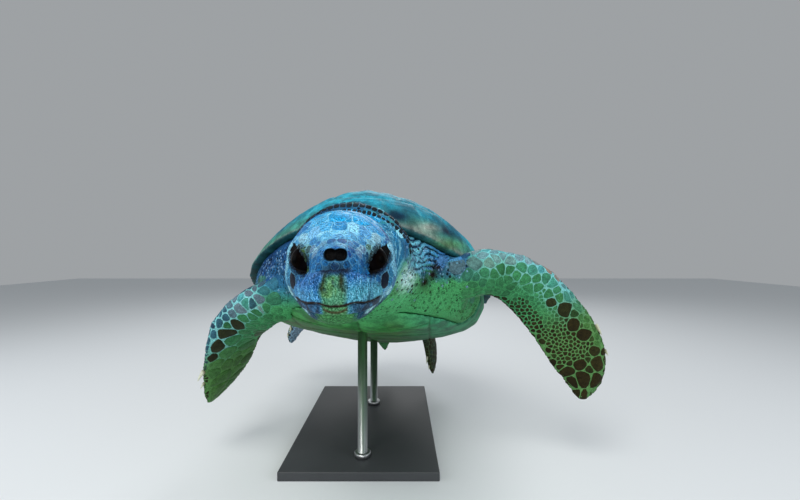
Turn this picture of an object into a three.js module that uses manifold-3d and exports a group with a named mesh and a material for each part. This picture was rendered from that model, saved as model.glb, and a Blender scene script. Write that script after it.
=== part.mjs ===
// A loggerhead turtle, life size, swimming on a plain display stand.
//
// Millimetres, +Z up. The turtle faces -Y, and its left side is at +X. The origin is the middle of
// the underside of the stand's base. The body is modelled whole and parted with thin cuts.

import * as THREE from 'three';
import * as BufferGeometryUtils from 'three/addons/utils/BufferGeometryUtils.js';
import Module from 'manifold-3d';

const wasm = await Module();
wasm.setup();

// ---- Driving dimensions ----

// Shell: straight length, half width, and heights over the level of its rim.
const SHELL_LENGTH = 850;
const SHELL_HALF_WIDTH = 348;
const DOME_HEIGHT = 185;
const LIP_HEIGHT = 26;
const RIM_RAISE = 38;
const RIM_DROP = 52;
const UNDERSIDE_RISE = 70;
const BODY_INSET = 20;
const BELLY_DEPTH = 165;

// How the trunk lies: its middle over the floor, nose up, rolled to its left, tail to its left.
const TRUNK_MIDDLE = new THREE.Vector3(16, 0, 440);
const TRUNK_PITCH = 17;
const TRUNK_ROLL = 3;
const TRUNK_YAW = 2;

// Plastron: the hard plate under the belly, and the bridges up to the rim of the shell.
const PLASTRON_THICKNESS = 38;
const PLASTRON_FRONT = -362;
const PLASTRON_REAR = 372;
const BRIDGE_FRONT = -150;
const BRIDGE_REAR = 165;
const BRIDGE_INNER = 215;

// Head: the middle of the skull, turned a little to the turtle's left.
const HEAD_MIDDLE = new THREE.Vector3(6, -580, 525);
const HEAD_YAW = 5;
const EYE_RADIUS = 26;
const EYE_PLACE = { side: 45.5, forward: 23, up: -2 };
const MOUTH_LEVEL = -54;
const BEAK_TOP = -8;
const BEAK_BACK = 51;
const JAW_BACK = -12;

// Stand: a flat base and two rods up to the plastron.
const BASE_WIDTH = 380;
const BASE_LENGTH = 560;
const BASE_THICKNESS = 22;
const ROD_RADIUS = 12;
const ROD_PLACES = { stand_rod_front: -170, stand_rod_rear: 170 };

// Clear gap between neighbouring pieces, and the finest edge kept after a cut.
const GAP = 0.3;
const FINEST_EDGE = 0.05;

// ---- Tables of sections ----

// Head, from the back of the skull to the tip of the beak, in the head's own frame:
// forward, half width, top, bottom, how much the section narrows towards its top.
const HEAD_SECTIONS = [
  [-125, 70, 66, -60, 0.10],
  [-95, 83, 77, -72, 0.12],
  [-55, 90, 82, -82, 0.14],
  [-20, 86, 77, -86, 0.16],
  [10, 75, 64, -86, 0.18],
  [35, 63, 48, -89, 0.18],
  [60, 51, 34, -89, 0.16],
  [82, 39, 26, -82, 0.12],
  [98, 26, 20, -68, 0.08],
  [106, 12, 8, -54, 0.05],
];

// Neck, from inside the trunk to inside the head, in the room's frame:
// y, x, z, half width, half height.
const NECK_SECTIONS = [
  [-230, 6, 462, 185, 98],
  [-320, 4, 474, 168, 98],
  [-385, 3, 492, 140, 92],
  [-440, 3, 510, 112, 84],
  [-485, 3, 522, 90, 76],
  [-520, 3, 526, 74, 66],
];

// Front flipper: share of its length, chord and thickness.
const FRONT_FLIPPER_SHAPE = [
  [0.00, 120, 100],
  [0.14, 116, 92],
  [0.28, 116, 68],
  [0.44, 138, 44],
  [0.60, 146, 32],
  [0.75, 146, 26],
  [0.88, 116, 19],
  [0.96, 68, 13],
  [1.00, 18, 8],
];

// Hind flipper: share of its length, chord and thickness.
const HIND_FLIPPER_SHAPE = [
  [0.00, 100, 76],
  [0.30, 86, 52],
  [0.58, 98, 32],
  [0.80, 82, 20],
  [0.94, 46, 13],
  [1.00, 14, 8],
];

// How each limb lies: share of its length, the middle of the section, and the direction of its
// chord from the leading edge to the trailing edge.
const LIMB_POSES = {
  front_flipper_left: [
    [0.00, 150, -240, 440, 0.00, 0.35, -0.94],
    [0.14, 240, -272, 478, -0.05, 0.28, -0.95],
    [0.28, 325, -270, 488, -0.20, 0.20, -0.96],
    [0.44, 405, -262, 446, -0.54, 0.15, -0.82],
    [0.60, 470, -258, 374, -0.80, 0.12, -0.59],
    [0.75, 517, -252, 303, -0.83, 0.12, -0.54],
    [0.88, 540, -245, 240, -0.85, 0.12, -0.51],
    [0.96, 543, -240, 197, -0.90, 0.12, -0.43],
    [1.00, 543, -237, 172, -0.93, 0.12, -0.34],
  ],
  front_flipper_right: [
    [0.00, -140, -245, 430, 0.00, 0.40, -0.92],
    [0.14, -190, -278, 425, 0.20, 0.45, -0.87],
    [0.28, -234, -280, 402, 0.33, 0.53, -0.78],
    [0.44, -286, -250, 358, 0.26, 0.72, -0.64],
    [0.60, -322, -210, 297, 0.30, 0.88, -0.36],
    [0.75, -350, -175, 235, 0.26, 0.90, -0.34],
    [0.88, -378, -160, 179, 0.10, 0.94, -0.34],
    [0.96, -396, -155, 149, -0.05, 0.92, -0.38],
    [1.00, -404, -150, 135, -0.07, 0.91, -0.40],
  ],
  hind_flipper_left: [
    [0.00, 140, 235, 315, 0.10, 0.95, -0.30],
    [0.30, 190, 275, 248, 0.36, 0.90, -0.22],
    [0.58, 212, 275, 188, 0.50, 0.84, -0.20],
    [0.80, 218, 262, 128, 0.54, 0.82, -0.20],
    [1.00, 219, 245, 76, 0.54, 0.82, -0.20],
  ],
  hind_flipper_right: [
    [0.00, -130, 235, 315, 0.00, 0.90, -0.40],
    [0.30, -214, 276, 278, 0.15, 0.88, -0.42],
    [0.58, -280, 300, 254, 0.30, 0.90, -0.25],
    [0.80, -312, 316, 222, 0.45, 0.86, -0.20],
    [1.00, -330, 325, 170, 0.50, 0.84, -0.20],
  ],
};

// Where the limbs are parted, as shares of their length, the outermost piece of each limb first.
const LIMB_CUTS = {
  front_flipper_left_blade: 0.42,
  front_flipper_left_arm: 0.18,
  front_flipper_right_blade: 0.42,
  front_flipper_right_arm: 0.20,
  hind_flipper_left: 0.30,
  hind_flipper_right: 0.30,
};

// Tail: share of its length, its middle and its radius.
const TAIL_SECTIONS = [
  [0.00, 18, 270, 286, 62],
  [0.35, 26, 330, 226, 42],
  [0.70, 32, 366, 170, 24],
  [1.00, 36, 388, 130, 6],
];

// Claws: their limb, share along it, length, radius at the root, and the way each one points.
const CLAWS = {
  claw_front_left_1: ['front_flipper_left', 0.70, 26, 7, [0.62, -0.25, -0.74]],
  claw_front_left_2: ['front_flipper_left', 0.80, 16, 5, [0.62, -0.25, -0.74]],
  claw_front_right_1: ['front_flipper_right', 0.70, 26, 7, [-0.45, -0.55, -0.70]],
  claw_front_right_2: ['front_flipper_right', 0.80, 16, 5, [-0.45, -0.55, -0.70]],
  claw_hind_left_1: ['hind_flipper_left', 0.76, 26, 6, [-0.25, -0.60, -0.76]],
  claw_hind_left_2: ['hind_flipper_left', 0.88, 16, 5, [-0.25, -0.60, -0.76]],
  claw_hind_right_1: ['hind_flipper_right', 0.66, 26, 6, [-0.20, -0.50, -0.84]],
  claw_hind_right_2: ['hind_flipper_right', 0.82, 16, 5, [-0.20, -0.50, -0.84]],
};

// ---- Helpers ----

// Smooth values between the rows of a table, whose first number is the place along it.
function between(rows, place) {
  let k = 0;
  while (k < rows.length - 2 && place > rows[k + 1][0]) {
    k += 1;
  }
  const before = rows[Math.max(k - 1, 0)];
  const start = rows[k];
  const end = rows[k + 1];
  const after = rows[Math.min(k + 2, rows.length - 1)];
  const span = end[0] - start[0];
  const t = (place - start[0]) / span;
  return start.map((value, column) => {
    const leave = (end[column] - before[column]) / (end[0] - before[0]) * span;
    const arrive = (after[column] - value) / (after[0] - start[0]) * span;
    const rise = end[column] - value;
    const cubic = leave + arrive - 2 * rise;
    const square = 3 * rise - 2 * leave - arrive;
    return value + t * (leave + t * (square + t * cubic));
  });
}

// A power that keeps the sign, for rounder or squarer sections.
function bend(value, power) {
  return Math.sign(value) * Math.abs(value) ** power;
}

// A closed tube. place(t, angle, reach) gives the point at station t, from 0 to 1, and at an angle
// round the section; reach is 0 in the middle of an end and 1 on the wall.
function tube(sides, steps, place) {
  const geometry = new THREE.CylinderGeometry(1, 1, 1, sides, steps);
  const position = geometry.getAttribute('position');
  for (let i = 0; i < position.count; i += 1) {
    const x = position.getX(i);
    const z = position.getZ(i);
    const point = place(position.getY(i) + 0.5, Math.atan2(z, x), Math.round(Math.hypot(x, z)));
    position.setXYZ(i, point.x, point.y, point.z);
  }
  return geometry;
}

// The closed solid of a geometry, with its faces turned outwards.
function solid(geometry) {
  const bare = geometry.clone();
  bare.deleteAttribute('normal');
  bare.deleteAttribute('uv');
  const merged = BufferGeometryUtils.mergeVertices(bare, 1e-3);
  const points = Float32Array.from(merged.getAttribute('position').array);
  const corners = [];
  const index = merged.getIndex().array;
  for (let i = 0; i < index.length; i += 3) {
    const [a, b, c] = [index[i], index[i + 1], index[i + 2]];
    if (a !== b && b !== c && c !== a) {
      corners.push(a, b, c);
    }
  }
  const turned = signedVolume(points, corners) < 0 ? corners.reverse() : corners;
  const triVerts = Uint32Array.from(turned);
  return new wasm.Manifold(new wasm.Mesh({ numProp: 3, vertProperties: points, triVerts }));
}

function signedVolume(points, corners) {
  let sum = 0;
  for (let i = 0; i < corners.length; i += 3) {
    const [a, b, c] = [0, 1, 2].map((k) => new THREE.Vector3().fromArray(points, 3 * corners[i + k]));
    sum += a.dot(b.cross(c));
  }
  return sum / 6;
}

// A box between two corners of a frame, as a solid.
function box(low, high, frame = new THREE.Matrix4()) {
  const size = new THREE.Vector3().subVectors(high, low);
  const middle = new THREE.Vector3().addVectors(low, high).multiplyScalar(0.5);
  const geometry = new THREE.BoxGeometry(size.x, size.y, size.z);
  geometry.translate(middle.x, middle.y, middle.z);
  geometry.applyMatrix4(frame);
  return solid(geometry);
}

// Parts a body at a plane: the piece that lies ahead of the point, inside a box of the given
// width and reach, and what is left once the box and a thin gap are taken off.
function part(body, point, direction, width, reach) {
  const ahead = new THREE.Vector3(...direction).normalize();
  const turn = new THREE.Quaternion().setFromUnitVectors(new THREE.Vector3(0, 0, 1), ahead);
  const frame = new THREE.Matrix4().compose(
    new THREE.Vector3(...point), turn, new THREE.Vector3(1, 1, 1));
  const half = width / 2;
  const inside = box(new THREE.Vector3(-half, -half, 0), new THREE.Vector3(half, half, reach), frame);
  const grown = box(
    new THREE.Vector3(-half - GAP, -half - GAP, -GAP),
    new THREE.Vector3(half + GAP, half + GAP, reach + GAP), frame);
  return [body.intersect(inside), body.subtract(grown)];
}

// The largest body of a cut piece, without the specks and the hair-thin edges that cuts leave.
function trimmed(piece) {
  const bodies = piece.simplify(FINEST_EDGE).decompose();
  return bodies.reduce((best, body) => (body.volume() > best.volume() ? body : best));
}

// ---- Frames ----

const TRUNK = new THREE.Matrix4()
  .makeTranslation(TRUNK_MIDDLE)
  .multiply(new THREE.Matrix4().makeRotationZ(-THREE.MathUtils.degToRad(TRUNK_YAW)))
  .multiply(new THREE.Matrix4().makeRotationY(THREE.MathUtils.degToRad(TRUNK_ROLL)))
  .multiply(new THREE.Matrix4().makeRotationX(-THREE.MathUtils.degToRad(TRUNK_PITCH)));

const HEAD = new THREE.Matrix4()
  .makeTranslation(HEAD_MIDDLE)
  .multiply(new THREE.Matrix4().makeRotationZ(THREE.MathUtils.degToRad(HEAD_YAW)));

// ---- Shell ----

// Half width of the shell at a share of its length: broad shoulders and a pointed rear.
const WIDEST_SHIFT = 0.92;
const SHELL_FULLNESS = 0.65;
const RIM_BEND = 1.3;
function shellHalfWidth(share) {
  return SHELL_HALF_WIDTH * Math.sin(Math.PI * share ** WIDEST_SHIFT) ** SHELL_FULLNESS;
}

// Height of the shell's rim, raised over the neck and dipping along the flanks.
function rimHeight(share) {
  return RIM_RAISE * (1 - share) ** 3 - RIM_DROP * Math.sin(Math.PI * share) ** RIM_BEND;
}

const FIRST_SHARE = 0.02;
const LAST_SHARE = 0.992;
const PEAK_SHIFT = 0.78;
const DOME_FULLNESS = 0.85;
const DOME_SIDE_BEND = 1.12;
const RIGHT_SIDE_BEND = 1.65;
const REAR_RISE = 14;
const SHELL_STATIONS = 18;
const SHELL_SIDES = 30;

// Height of the shell's back, highest a third of the way from the front.
function backHeight(share) {
  const place = (share - FIRST_SHARE) / (1 - FIRST_SHARE);
  const dome = DOME_HEIGHT * Math.sin(Math.PI * place ** PEAK_SHIFT) ** DOME_FULLNESS;
  return dome + (LIP_HEIGHT + RIM_RAISE) * (1 - place) ** 3 + REAR_RISE * place;
}

function carapace(grow) {
  return tube(SHELL_SIDES, SHELL_STATIONS, (t, angle, reach) => {
    const share = FIRST_SHARE + (LAST_SHARE - FIRST_SHARE) * (1 - Math.cos(Math.PI * t)) / 2;
    const rim = rimHeight(share);
    const rise = Math.sin(angle);
    const width = (shellHalfWidth(share) + grow) * Math.cos(angle) * reach;
    // the right flank is flatter than the left one
    const flankBend = Math.cos(angle) < 0 ? RIGHT_SIDE_BEND : DOME_SIDE_BEND;
    const above = (backHeight(share) - rim) * bend(rise, flankBend);
    const below = UNDERSIDE_RISE * Math.sin(Math.PI * share) * rise ** 2;
    const spread = grow * THREE.MathUtils.clamp(4 * rise - 0.6, -1, 1);
    const height = rim + spread + (rise > 0 ? above : below) * reach;
    const along = (share - 0.5) * SHELL_LENGTH + grow * (2 * t - 1);
    return new THREE.Vector3(width, along, height).applyMatrix4(TRUNK);
  });
}

const BODY_START = 0.045;
const BODY_SHARE = 0.895;
const END_SWELL = 3.2;
const END_SIZE = 0.25;
const END_TAPER = 0.4;
const BELLY_SWELL = 1.9;
const FLANK_BEND = 0.85;
const BELLY_BEND = 0.62;
const BODY_CROWN = 60;
const BODY_STATIONS = 14;
const BODY_SIDES = 26;

// The whole body under the shell: flat below, with rounded sides up to the rim.
function underbody(grow) {
  return tube(BODY_SIDES, BODY_STATIONS, (t, angle, reach) => {
    const share = BODY_START + BODY_SHARE * (1 - Math.cos(Math.PI * t)) / 2;
    const end = Math.min(1, Math.sin(Math.PI * t) * END_SWELL + END_SIZE);
    const rim = rimHeight(share);
    const half = (shellHalfWidth(share) - BODY_INSET) * (1 - END_TAPER + END_TAPER * end) + grow;
    const floor = BELLY_DEPTH * Math.min(1, (Math.sin(Math.PI * share) * BELLY_SWELL) ** 0.5);
    const rise = Math.sin(angle);
    const width = half * bend(Math.cos(angle), FLANK_BEND) * reach;
    const below = (-floor - rim) * bend(-rise, BELLY_BEND) - grow;
    const height = rim + (rise > 0 ? BODY_CROWN * rise * end : below) * reach;
    const along = (share - 0.5) * SHELL_LENGTH + grow * (2 * t - 1);
    return new THREE.Vector3(width, along, height).applyMatrix4(TRUNK);
  });
}

const BEYOND = 60;
const BRIDGE_TOP = 30;

// The space of the plastron: a slab across the belly and a block over each bridge.
function plastronSpace(grow) {
  const wide = SHELL_HALF_WIDTH + BEYOND;
  const top = -BELLY_DEPTH + PLASTRON_THICKNESS + grow;
  const slab = box(
    new THREE.Vector3(-wide, PLASTRON_FRONT - grow, -BELLY_DEPTH - BEYOND),
    new THREE.Vector3(wide, PLASTRON_REAR + grow, top), TRUNK);
  const bridges = [-1, 1].map((side) => {
    const edges = [side * (BRIDGE_INNER - grow), side * wide];
    return box(
      new THREE.Vector3(Math.min(...edges), BRIDGE_FRONT - grow, -BELLY_DEPTH - BEYOND),
      new THREE.Vector3(Math.max(...edges), BRIDGE_REAR + grow, BRIDGE_TOP), TRUNK);
  });
  return bridges.reduce((space, bridge) => space.add(bridge), slab);
}

const shell = solid(carapace(0));
const shellRoom = solid(carapace(2 * GAP));
const under = solid(underbody(0)).subtract(shellRoom);
const plastron = under.intersect(plastronSpace(0));
const plastronRoom = solid(underbody(GAP)).intersect(plastronSpace(GAP));

// ---- Flesh ----

function headShape() {
  const [back, front] = [HEAD_SECTIONS[0][0], HEAD_SECTIONS.at(-1)[0]];
  return tube(24, 15, (t, angle, reach) => {
    const forward = back + (front - back) * (1 - (1 - t) ** 1.5);
    const [, half, top, bottom, narrowing] = between(HEAD_SECTIONS, forward);
    const rise = Math.sin(angle);
    const middle = (top + bottom) / 2;
    const height = middle + (top - bottom) / 2 * bend(rise, 0.95) * reach;
    const side = half * bend(Math.cos(angle), 0.85) * (1 - narrowing * rise) * reach;
    return new THREE.Vector3(side, -forward, height).applyMatrix4(HEAD);
  });
}

function neckShape() {
  const [back, front] = [NECK_SECTIONS[0][0], NECK_SECTIONS.at(-1)[0]];
  const rows = NECK_SECTIONS.map(([y, ...rest]) => [-y, ...rest]);
  return tube(22, 6, (t, angle, reach) => {
    const [, x, z, half, high] = between(rows, -(back + (front - back) * t));
    const side = x + half * Math.cos(angle) * reach;
    return new THREE.Vector3(side, back + (front - back) * t, z + high * Math.sin(angle) * reach);
  });
}

// The middle, chord direction, chord, thickness and normal of a limb at a share of its length.
function limbSection(name, share) {
  const shape = name.startsWith('front') ? FRONT_FLIPPER_SHAPE : HIND_FLIPPER_SHAPE;
  const pose = LIMB_POSES[name];
  const step = 0.01;
  const middleAt = (place) => new THREE.Vector3(...between(pose, place).slice(1, 4));
  const along = middleAt(Math.min(share + step, 1)).sub(middleAt(Math.max(share - step, 0)));
  along.normalize();
  const chordLine = new THREE.Vector3(...between(pose, share).slice(4));
  chordLine.addScaledVector(along, -chordLine.dot(along)).normalize();
  const normal = new THREE.Vector3().crossVectors(along, chordLine);
  const [, chord, thickness] = between(shape, share);
  return { middle: middleAt(share), along, chordLine, normal, chord, thickness };
}

function limbShape(name, grow) {
  return tube(14, 12, (t, angle, reach) => {
    const share = 1 - (1 - t) ** 1.5;
    const { middle, along, chordLine, normal, chord, thickness } = limbSection(name, share);
    const across = (chord / 2 + grow) * Math.cos(angle) * reach;
    const lean = 1 - 0.4 * share * Math.cos(angle);
    const up = (thickness / 2 * lean + grow) * Math.sin(angle) * reach;
    return middle.clone()
      .addScaledVector(along, grow * (2 * t - 1))
      .addScaledVector(chordLine, across)
      .addScaledVector(normal, up);
  });
}

function tailShape(grow) {
  return tube(12, 7, (t, angle, reach) => {
    const share = 1 - (1 - t) ** 1.5;
    const [, x, y, z, radius] = between(TAIL_SECTIONS, share);
    const wide = (radius + grow) * reach;
    return new THREE.Vector3(x, y, z)
      .addScaledVector(new THREE.Vector3(1, 0, 0), wide * Math.cos(angle))
      .addScaledVector(new THREE.Vector3(0, 0.8, 0.6), wide * Math.sin(angle))
      .addScaledVector(new THREE.Vector3(0, 0.6, -0.8), grow * (2 * t - 1));
  });
}

// A claw: a short curved horn that stands on the leading edge of its flipper.
function clawShape(limb, share, length, radius, direction, grow) {
  const { middle, chordLine, chord } = limbSection(limb, share);
  const point = new THREE.Vector3(...direction).normalize();
  const root = middle.clone().addScaledVector(chordLine, -chord / 2 + 7);
  const side = new THREE.Vector3().crossVectors(point, chordLine).normalize();
  const front = new THREE.Vector3().crossVectors(side, point);
  return tube(8, 3, (t, angle, reach) => {
    const wide = (radius * (1 - 0.85 * t) + grow) * reach;
    const ahead = length * t + grow * (2 * t - 1);
    return root.clone()
      .addScaledVector(point, ahead)
      .addScaledVector(front, length * 0.18 * t * t + wide * Math.cos(angle))
      .addScaledVector(side, 0.75 * wide * Math.sin(angle));
  });
}

function eyeShape(side, grow) {
  const eye = new THREE.SphereGeometry(EYE_RADIUS + grow, 14, 8);
  eye.translate(side * EYE_PLACE.side, -EYE_PLACE.forward, EYE_PLACE.up);
  return eye.applyMatrix4(HEAD);
}

const wholeHead = solid(headShape());
const far = 200;
const beakSpace = (grow) => box(
  new THREE.Vector3(-far, -far, MOUTH_LEVEL + GAP - grow),
  new THREE.Vector3(far, -BEAK_BACK + grow, BEAK_TOP + grow), HEAD);
const jawSpace = (grow) => box(
  new THREE.Vector3(-far, -far, -far),
  new THREE.Vector3(far, -JAW_BACK + grow, MOUTH_LEVEL + grow), HEAD);

let flesh = under.add(solid(neckShape())).add(wholeHead);
flesh = flesh.subtract(beakSpace(GAP)).subtract(jawSpace(GAP));
const pieces = {};

// Parts a limb or the tail into the pieces named in its cuts, outermost first, and joins its root
// to the rest of the flesh. Each cut gives a name, a point and the direction outwards.
function joinLimb(shape, cuts) {
  const wide = 520;
  let root = solid(shape(0));
  for (const [name, point, direction] of cuts) {
    [pieces[name], root] = part(root, point, direction, wide, wide);
  }
  const [, point, direction] = cuts.at(-1);
  const [room] = part(solid(shape(GAP)), point, direction, wide, wide);
  flesh = flesh.subtract(room).add(root);
}

for (const name of Object.keys(LIMB_POSES)) {
  const cuts = Object.entries(LIMB_CUTS)
    .filter(([piece]) => piece.startsWith(name))
    .map(([piece, share]) => {
      const { middle, along } = limbSection(name, share);
      return [piece, middle.toArray(), along.toArray()];
    });
  joinLimb((grow) => limbShape(name, grow), cuts);
}
joinLimb(tailShape, [['tail', [25, 322, 234], [0.06, 0.62, -0.78]]]);

// Claws and eyes sit in sockets of the flesh.
function clearOf(piece, room) {
  return piece.intersect(room).isEmpty() ? piece : piece.subtract(room);
}

pieces.upper_beak = wholeHead.intersect(beakSpace(0));
pieces.lower_jaw = wholeHead.intersect(jawSpace(0));
for (const [name, side] of [['eye_left', 1], ['eye_right', -1]]) {
  const room = solid(eyeShape(side, GAP));
  flesh = flesh.subtract(room);
  pieces.upper_beak = clearOf(pieces.upper_beak, room);
  pieces[name] = solid(eyeShape(side, 0));
}
for (const [name, claw] of Object.entries(CLAWS)) {
  const room = solid(clawShape(...claw, GAP));
  const outer = Object.keys(LIMB_CUTS).find((piece) => piece.startsWith(claw[0]));
  pieces[outer] = clearOf(pieces[outer], room);
  pieces[name] = solid(clawShape(...claw, 0));
}

// ---- Shell taken off, and thin cuts through the neck ----

flesh = flesh.subtract(shellRoom).subtract(plastronRoom);
for (const name of [...Object.keys(LIMB_CUTS), 'tail']) {
  pieces[name] = clearOf(clearOf(pieces[name], shellRoom), plastronRoom);
}

const headBack = new THREE.Vector3(0, 92, 0).applyMatrix4(HEAD).toArray();
const headAhead = new THREE.Vector3(0, -1, 0).transformDirection(HEAD).toArray();
[pieces.head, flesh] = part(flesh, headBack, headAhead, 260, 260);
[pieces.neck, flesh] = part(flesh, [4, -352, 490], [0, -1, 0.15], 330, 200);
pieces.trunk = flesh;
pieces.carapace = shell;
pieces.plastron = plastron;

// ---- Stand ----

// A rod from the base up to the plastron, its top cut to the slope of the belly.
function rod(along) {
  const foot = new THREE.Vector3(0, along, -BELLY_DEPTH).applyMatrix4(TRUNK);
  const height = foot.z + 60 - BASE_THICKNESS;
  const geometry = new THREE.CylinderGeometry(ROD_RADIUS, ROD_RADIUS, height, 24);
  geometry.rotateX(Math.PI / 2);
  geometry.translate(foot.x, foot.y, BASE_THICKNESS + GAP + height / 2);
  const wide = 60;
  const above = box(
    new THREE.Vector3(-wide, along - wide, -BELLY_DEPTH - GAP),
    new THREE.Vector3(wide, along + wide, -BELLY_DEPTH + 150), TRUNK);
  return solid(geometry).subtract(above);
}

for (const [name, along] of Object.entries(ROD_PLACES)) {
  pieces[name] = rod(along);
}
pieces.stand_base = box(
  new THREE.Vector3(-BASE_WIDTH / 2, -BASE_LENGTH / 2, 0),
  new THREE.Vector3(BASE_WIDTH / 2, BASE_LENGTH / 2, BASE_THICKNESS));

// ---- Colours and finishes ----

const SKIN = { color: 0x4f8f62, roughness: 0.6, metalness: 0 };
const HEAD_SKIN = { color: 0x3f7fae, roughness: 0.5, metalness: 0 };
const SHELL = { color: 0x2f8394, roughness: 0.45, metalness: 0 };
const BELLY = { color: 0x5a8a48, roughness: 0.5, metalness: 0 };
const HORN = { color: 0x3f7a6a, roughness: 0.35, metalness: 0 };
const CLAW = { color: 0xb8c4b0, roughness: 0.35, metalness: 0 };
const EYE = { color: 0x120808, roughness: 0.08, metalness: 0 };
const PLATE = { color: 0x2c2e30, roughness: 0.5, metalness: 0 };
const STEEL = { color: 0x8f9396, roughness: 0.3, metalness: 1 };

function finishOf(name) {
  if (name.startsWith('claw')) return CLAW;
  if (name.startsWith('eye')) return EYE;
  if (name.startsWith('stand_rod')) return STEEL;
  const special = {
    head: HEAD_SKIN, neck: HEAD_SKIN, carapace: SHELL, plastron: BELLY,
    upper_beak: HORN, lower_jaw: HORN, stand_base: PLATE,
  };
  return special[name] ?? SKIN;
}

const turtle = new THREE.Group();
for (const [name, piece] of Object.entries(pieces)) {
  const { vertProperties, triVerts } = trimmed(piece).getMesh();
  const geometry = new THREE.BufferGeometry();
  geometry.setAttribute('position', new THREE.BufferAttribute(Float32Array.from(vertProperties), 3));
  geometry.setIndex(new THREE.BufferAttribute(Uint32Array.from(triVerts), 1));
  geometry.computeVertexNormals();
  const mesh = new THREE.Mesh(geometry, new THREE.MeshStandardMaterial(finishOf(name)));
  mesh.name = name;
  turtle.add(mesh);
}

export default turtle;
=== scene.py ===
import itertools
import math
import random

import bmesh
import bpy
import numpy as np
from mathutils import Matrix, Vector
from mathutils.bvhtree import BVHTree
from mathutils.kdtree import KDTree


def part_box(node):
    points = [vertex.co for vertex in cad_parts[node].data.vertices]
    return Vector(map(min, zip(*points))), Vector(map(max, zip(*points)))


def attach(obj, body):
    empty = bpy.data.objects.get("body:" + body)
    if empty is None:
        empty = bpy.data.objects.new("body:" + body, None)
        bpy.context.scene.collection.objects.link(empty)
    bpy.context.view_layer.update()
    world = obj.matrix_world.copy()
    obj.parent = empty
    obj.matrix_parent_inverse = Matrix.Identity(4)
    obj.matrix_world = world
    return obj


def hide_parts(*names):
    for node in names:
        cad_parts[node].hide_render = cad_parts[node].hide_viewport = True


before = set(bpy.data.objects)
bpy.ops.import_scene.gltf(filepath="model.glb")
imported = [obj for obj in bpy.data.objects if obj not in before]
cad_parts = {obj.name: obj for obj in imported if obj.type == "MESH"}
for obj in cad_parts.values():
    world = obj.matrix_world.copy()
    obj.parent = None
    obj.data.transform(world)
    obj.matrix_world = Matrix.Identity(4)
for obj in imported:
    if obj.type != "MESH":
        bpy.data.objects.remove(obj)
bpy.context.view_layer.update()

# ------------------------------------------------------------------ display stand: base
# A flat steel plate, powder coated dark grey, that carries the model on two rods.
# It is laser cut and folded nowhere, so its edges are only eased.
MM = 0.001
BASE_EASE, BASE_EASE_SIDES = 2.5, 4
COAT_PEEL, COAT_DRIFT, PEEL_DEEP = 1.2, 111.1, 0.4


def colour(code):
    """An sRGB hex colour as linear red, green, blue and alpha."""
    parts = [int(code[place:place + 2], 16) / 255 for place in (0, 2, 4)]
    return tuple(c / 12.92 if c <= 0.04045 else ((c + 0.055) / 1.055) ** 2.4 for c in parts) + (1.0,)


def scale_of(size):
    """A pattern's scale from the real size of its grain in millimetres."""
    return 1 / (size * MM)


def add(tree, kind, settings=None, sockets=None):
    """Adds a node, with its settings, and its sockets' values or links."""
    node = tree.nodes.new(kind)
    for name, value in (settings or {}).items():
        if name == "stops":
            ramp = node.color_ramp
            while len(ramp.elements) < len(value):
                ramp.elements.new(0.5)
            for stop, (place, code) in zip(ramp.elements, value):
                stop.position, stop.color = place, colour(code)
        else:
            setattr(node, name, value)
    for name, value in (sockets or {}).items():
        if isinstance(value, bpy.types.NodeSocket):
            tree.links.new(value, node.inputs[name])
        else:
            node.inputs[name].default_value = value
    return node


def finish_named(name, **values):
    """A new material with its shader's own sockets set, its tree and its shader."""
    material = bpy.data.materials.new(name)
    material.use_nodes = True
    tree = material.node_tree
    shader = tree.nodes["Principled BSDF"]
    for socket, value in values.items():
        shader.inputs[socket.replace("_", " ")].default_value = value
    return material, tree, shader


def carried(name, data):
    """A new object in the scene for a mesh, a light or a lens."""
    carrier = bpy.data.objects.new(name, data)
    bpy.context.scene.collection.objects.link(carrier)
    return carrier


def piece_of(name, mesh, material, slot, *nodes):
    """A finished piece: it rides on the body, and takes the place of its nodes; its slot is not used."""
    piece = carried(name, mesh)
    mesh.materials.clear()
    mesh.materials.append(material)
    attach(piece, "root")
    if nodes:
        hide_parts(*nodes)
    return piece


def merged(*names):
    """The CAD nodes' faces in one builder, with the corners that they share joined."""
    builder = bmesh.new()
    for name in names:
        builder.from_mesh(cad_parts[name].data)
    bmesh.ops.remove_doubles(builder, verts=builder.verts, dist=1e-6)
    return builder


def mesh_of(builder, name):
    """What the builder holds, as a named mesh."""
    mesh = bpy.data.meshes.new(name)
    builder.to_mesh(mesh)
    builder.free()
    return mesh


# Powder coat: dark grey polyester with a fine orange-peel surface, matt.
powder_coat, tree, shader = finish_named("powder coated steel", Roughness=0.55, Metallic=0.0)
place = add(tree, "ShaderNodeTexCoord").outputs["Object"]
peel = add(tree, "ShaderNodeTexNoise", {}, {"Vector": place, "Scale": scale_of(COAT_PEEL), "Detail": 2.0})
drift = add(tree, "ShaderNodeTexNoise", {}, {"Vector": place, "Scale": scale_of(COAT_DRIFT), "Detail": 4.0})
shade = add(tree, "ShaderNodeValToRGB", {"stops": [(0.3, "34373a"), (0.7, "3a3d40")]},
            {"Fac": drift.outputs["Fac"]})
bump = add(tree, "ShaderNodeBump", {}, {"Height": peel.outputs["Fac"], "Strength": 0.15,
                                        "Distance": PEEL_DEEP * MM})
tree.links.new(shade.outputs["Color"], shader.inputs["Base Color"])
tree.links.new(bump.outputs["Normal"], shader.inputs["Normal"])

builder = merged("stand_base")
bmesh.ops.dissolve_limit(builder, angle_limit=0.02, verts=builder.verts, edges=builder.edges)
bmesh.ops.bevel(builder, geom=builder.edges, offset=BASE_EASE * MM, segments=BASE_EASE_SIDES, profile=0.5,
                affect="EDGES", clamp_overlap=True)
piece_of("stand_base_plate", mesh_of(builder, "stand_base_plate"), powder_coat, "stand_base", "stand_base")

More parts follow.
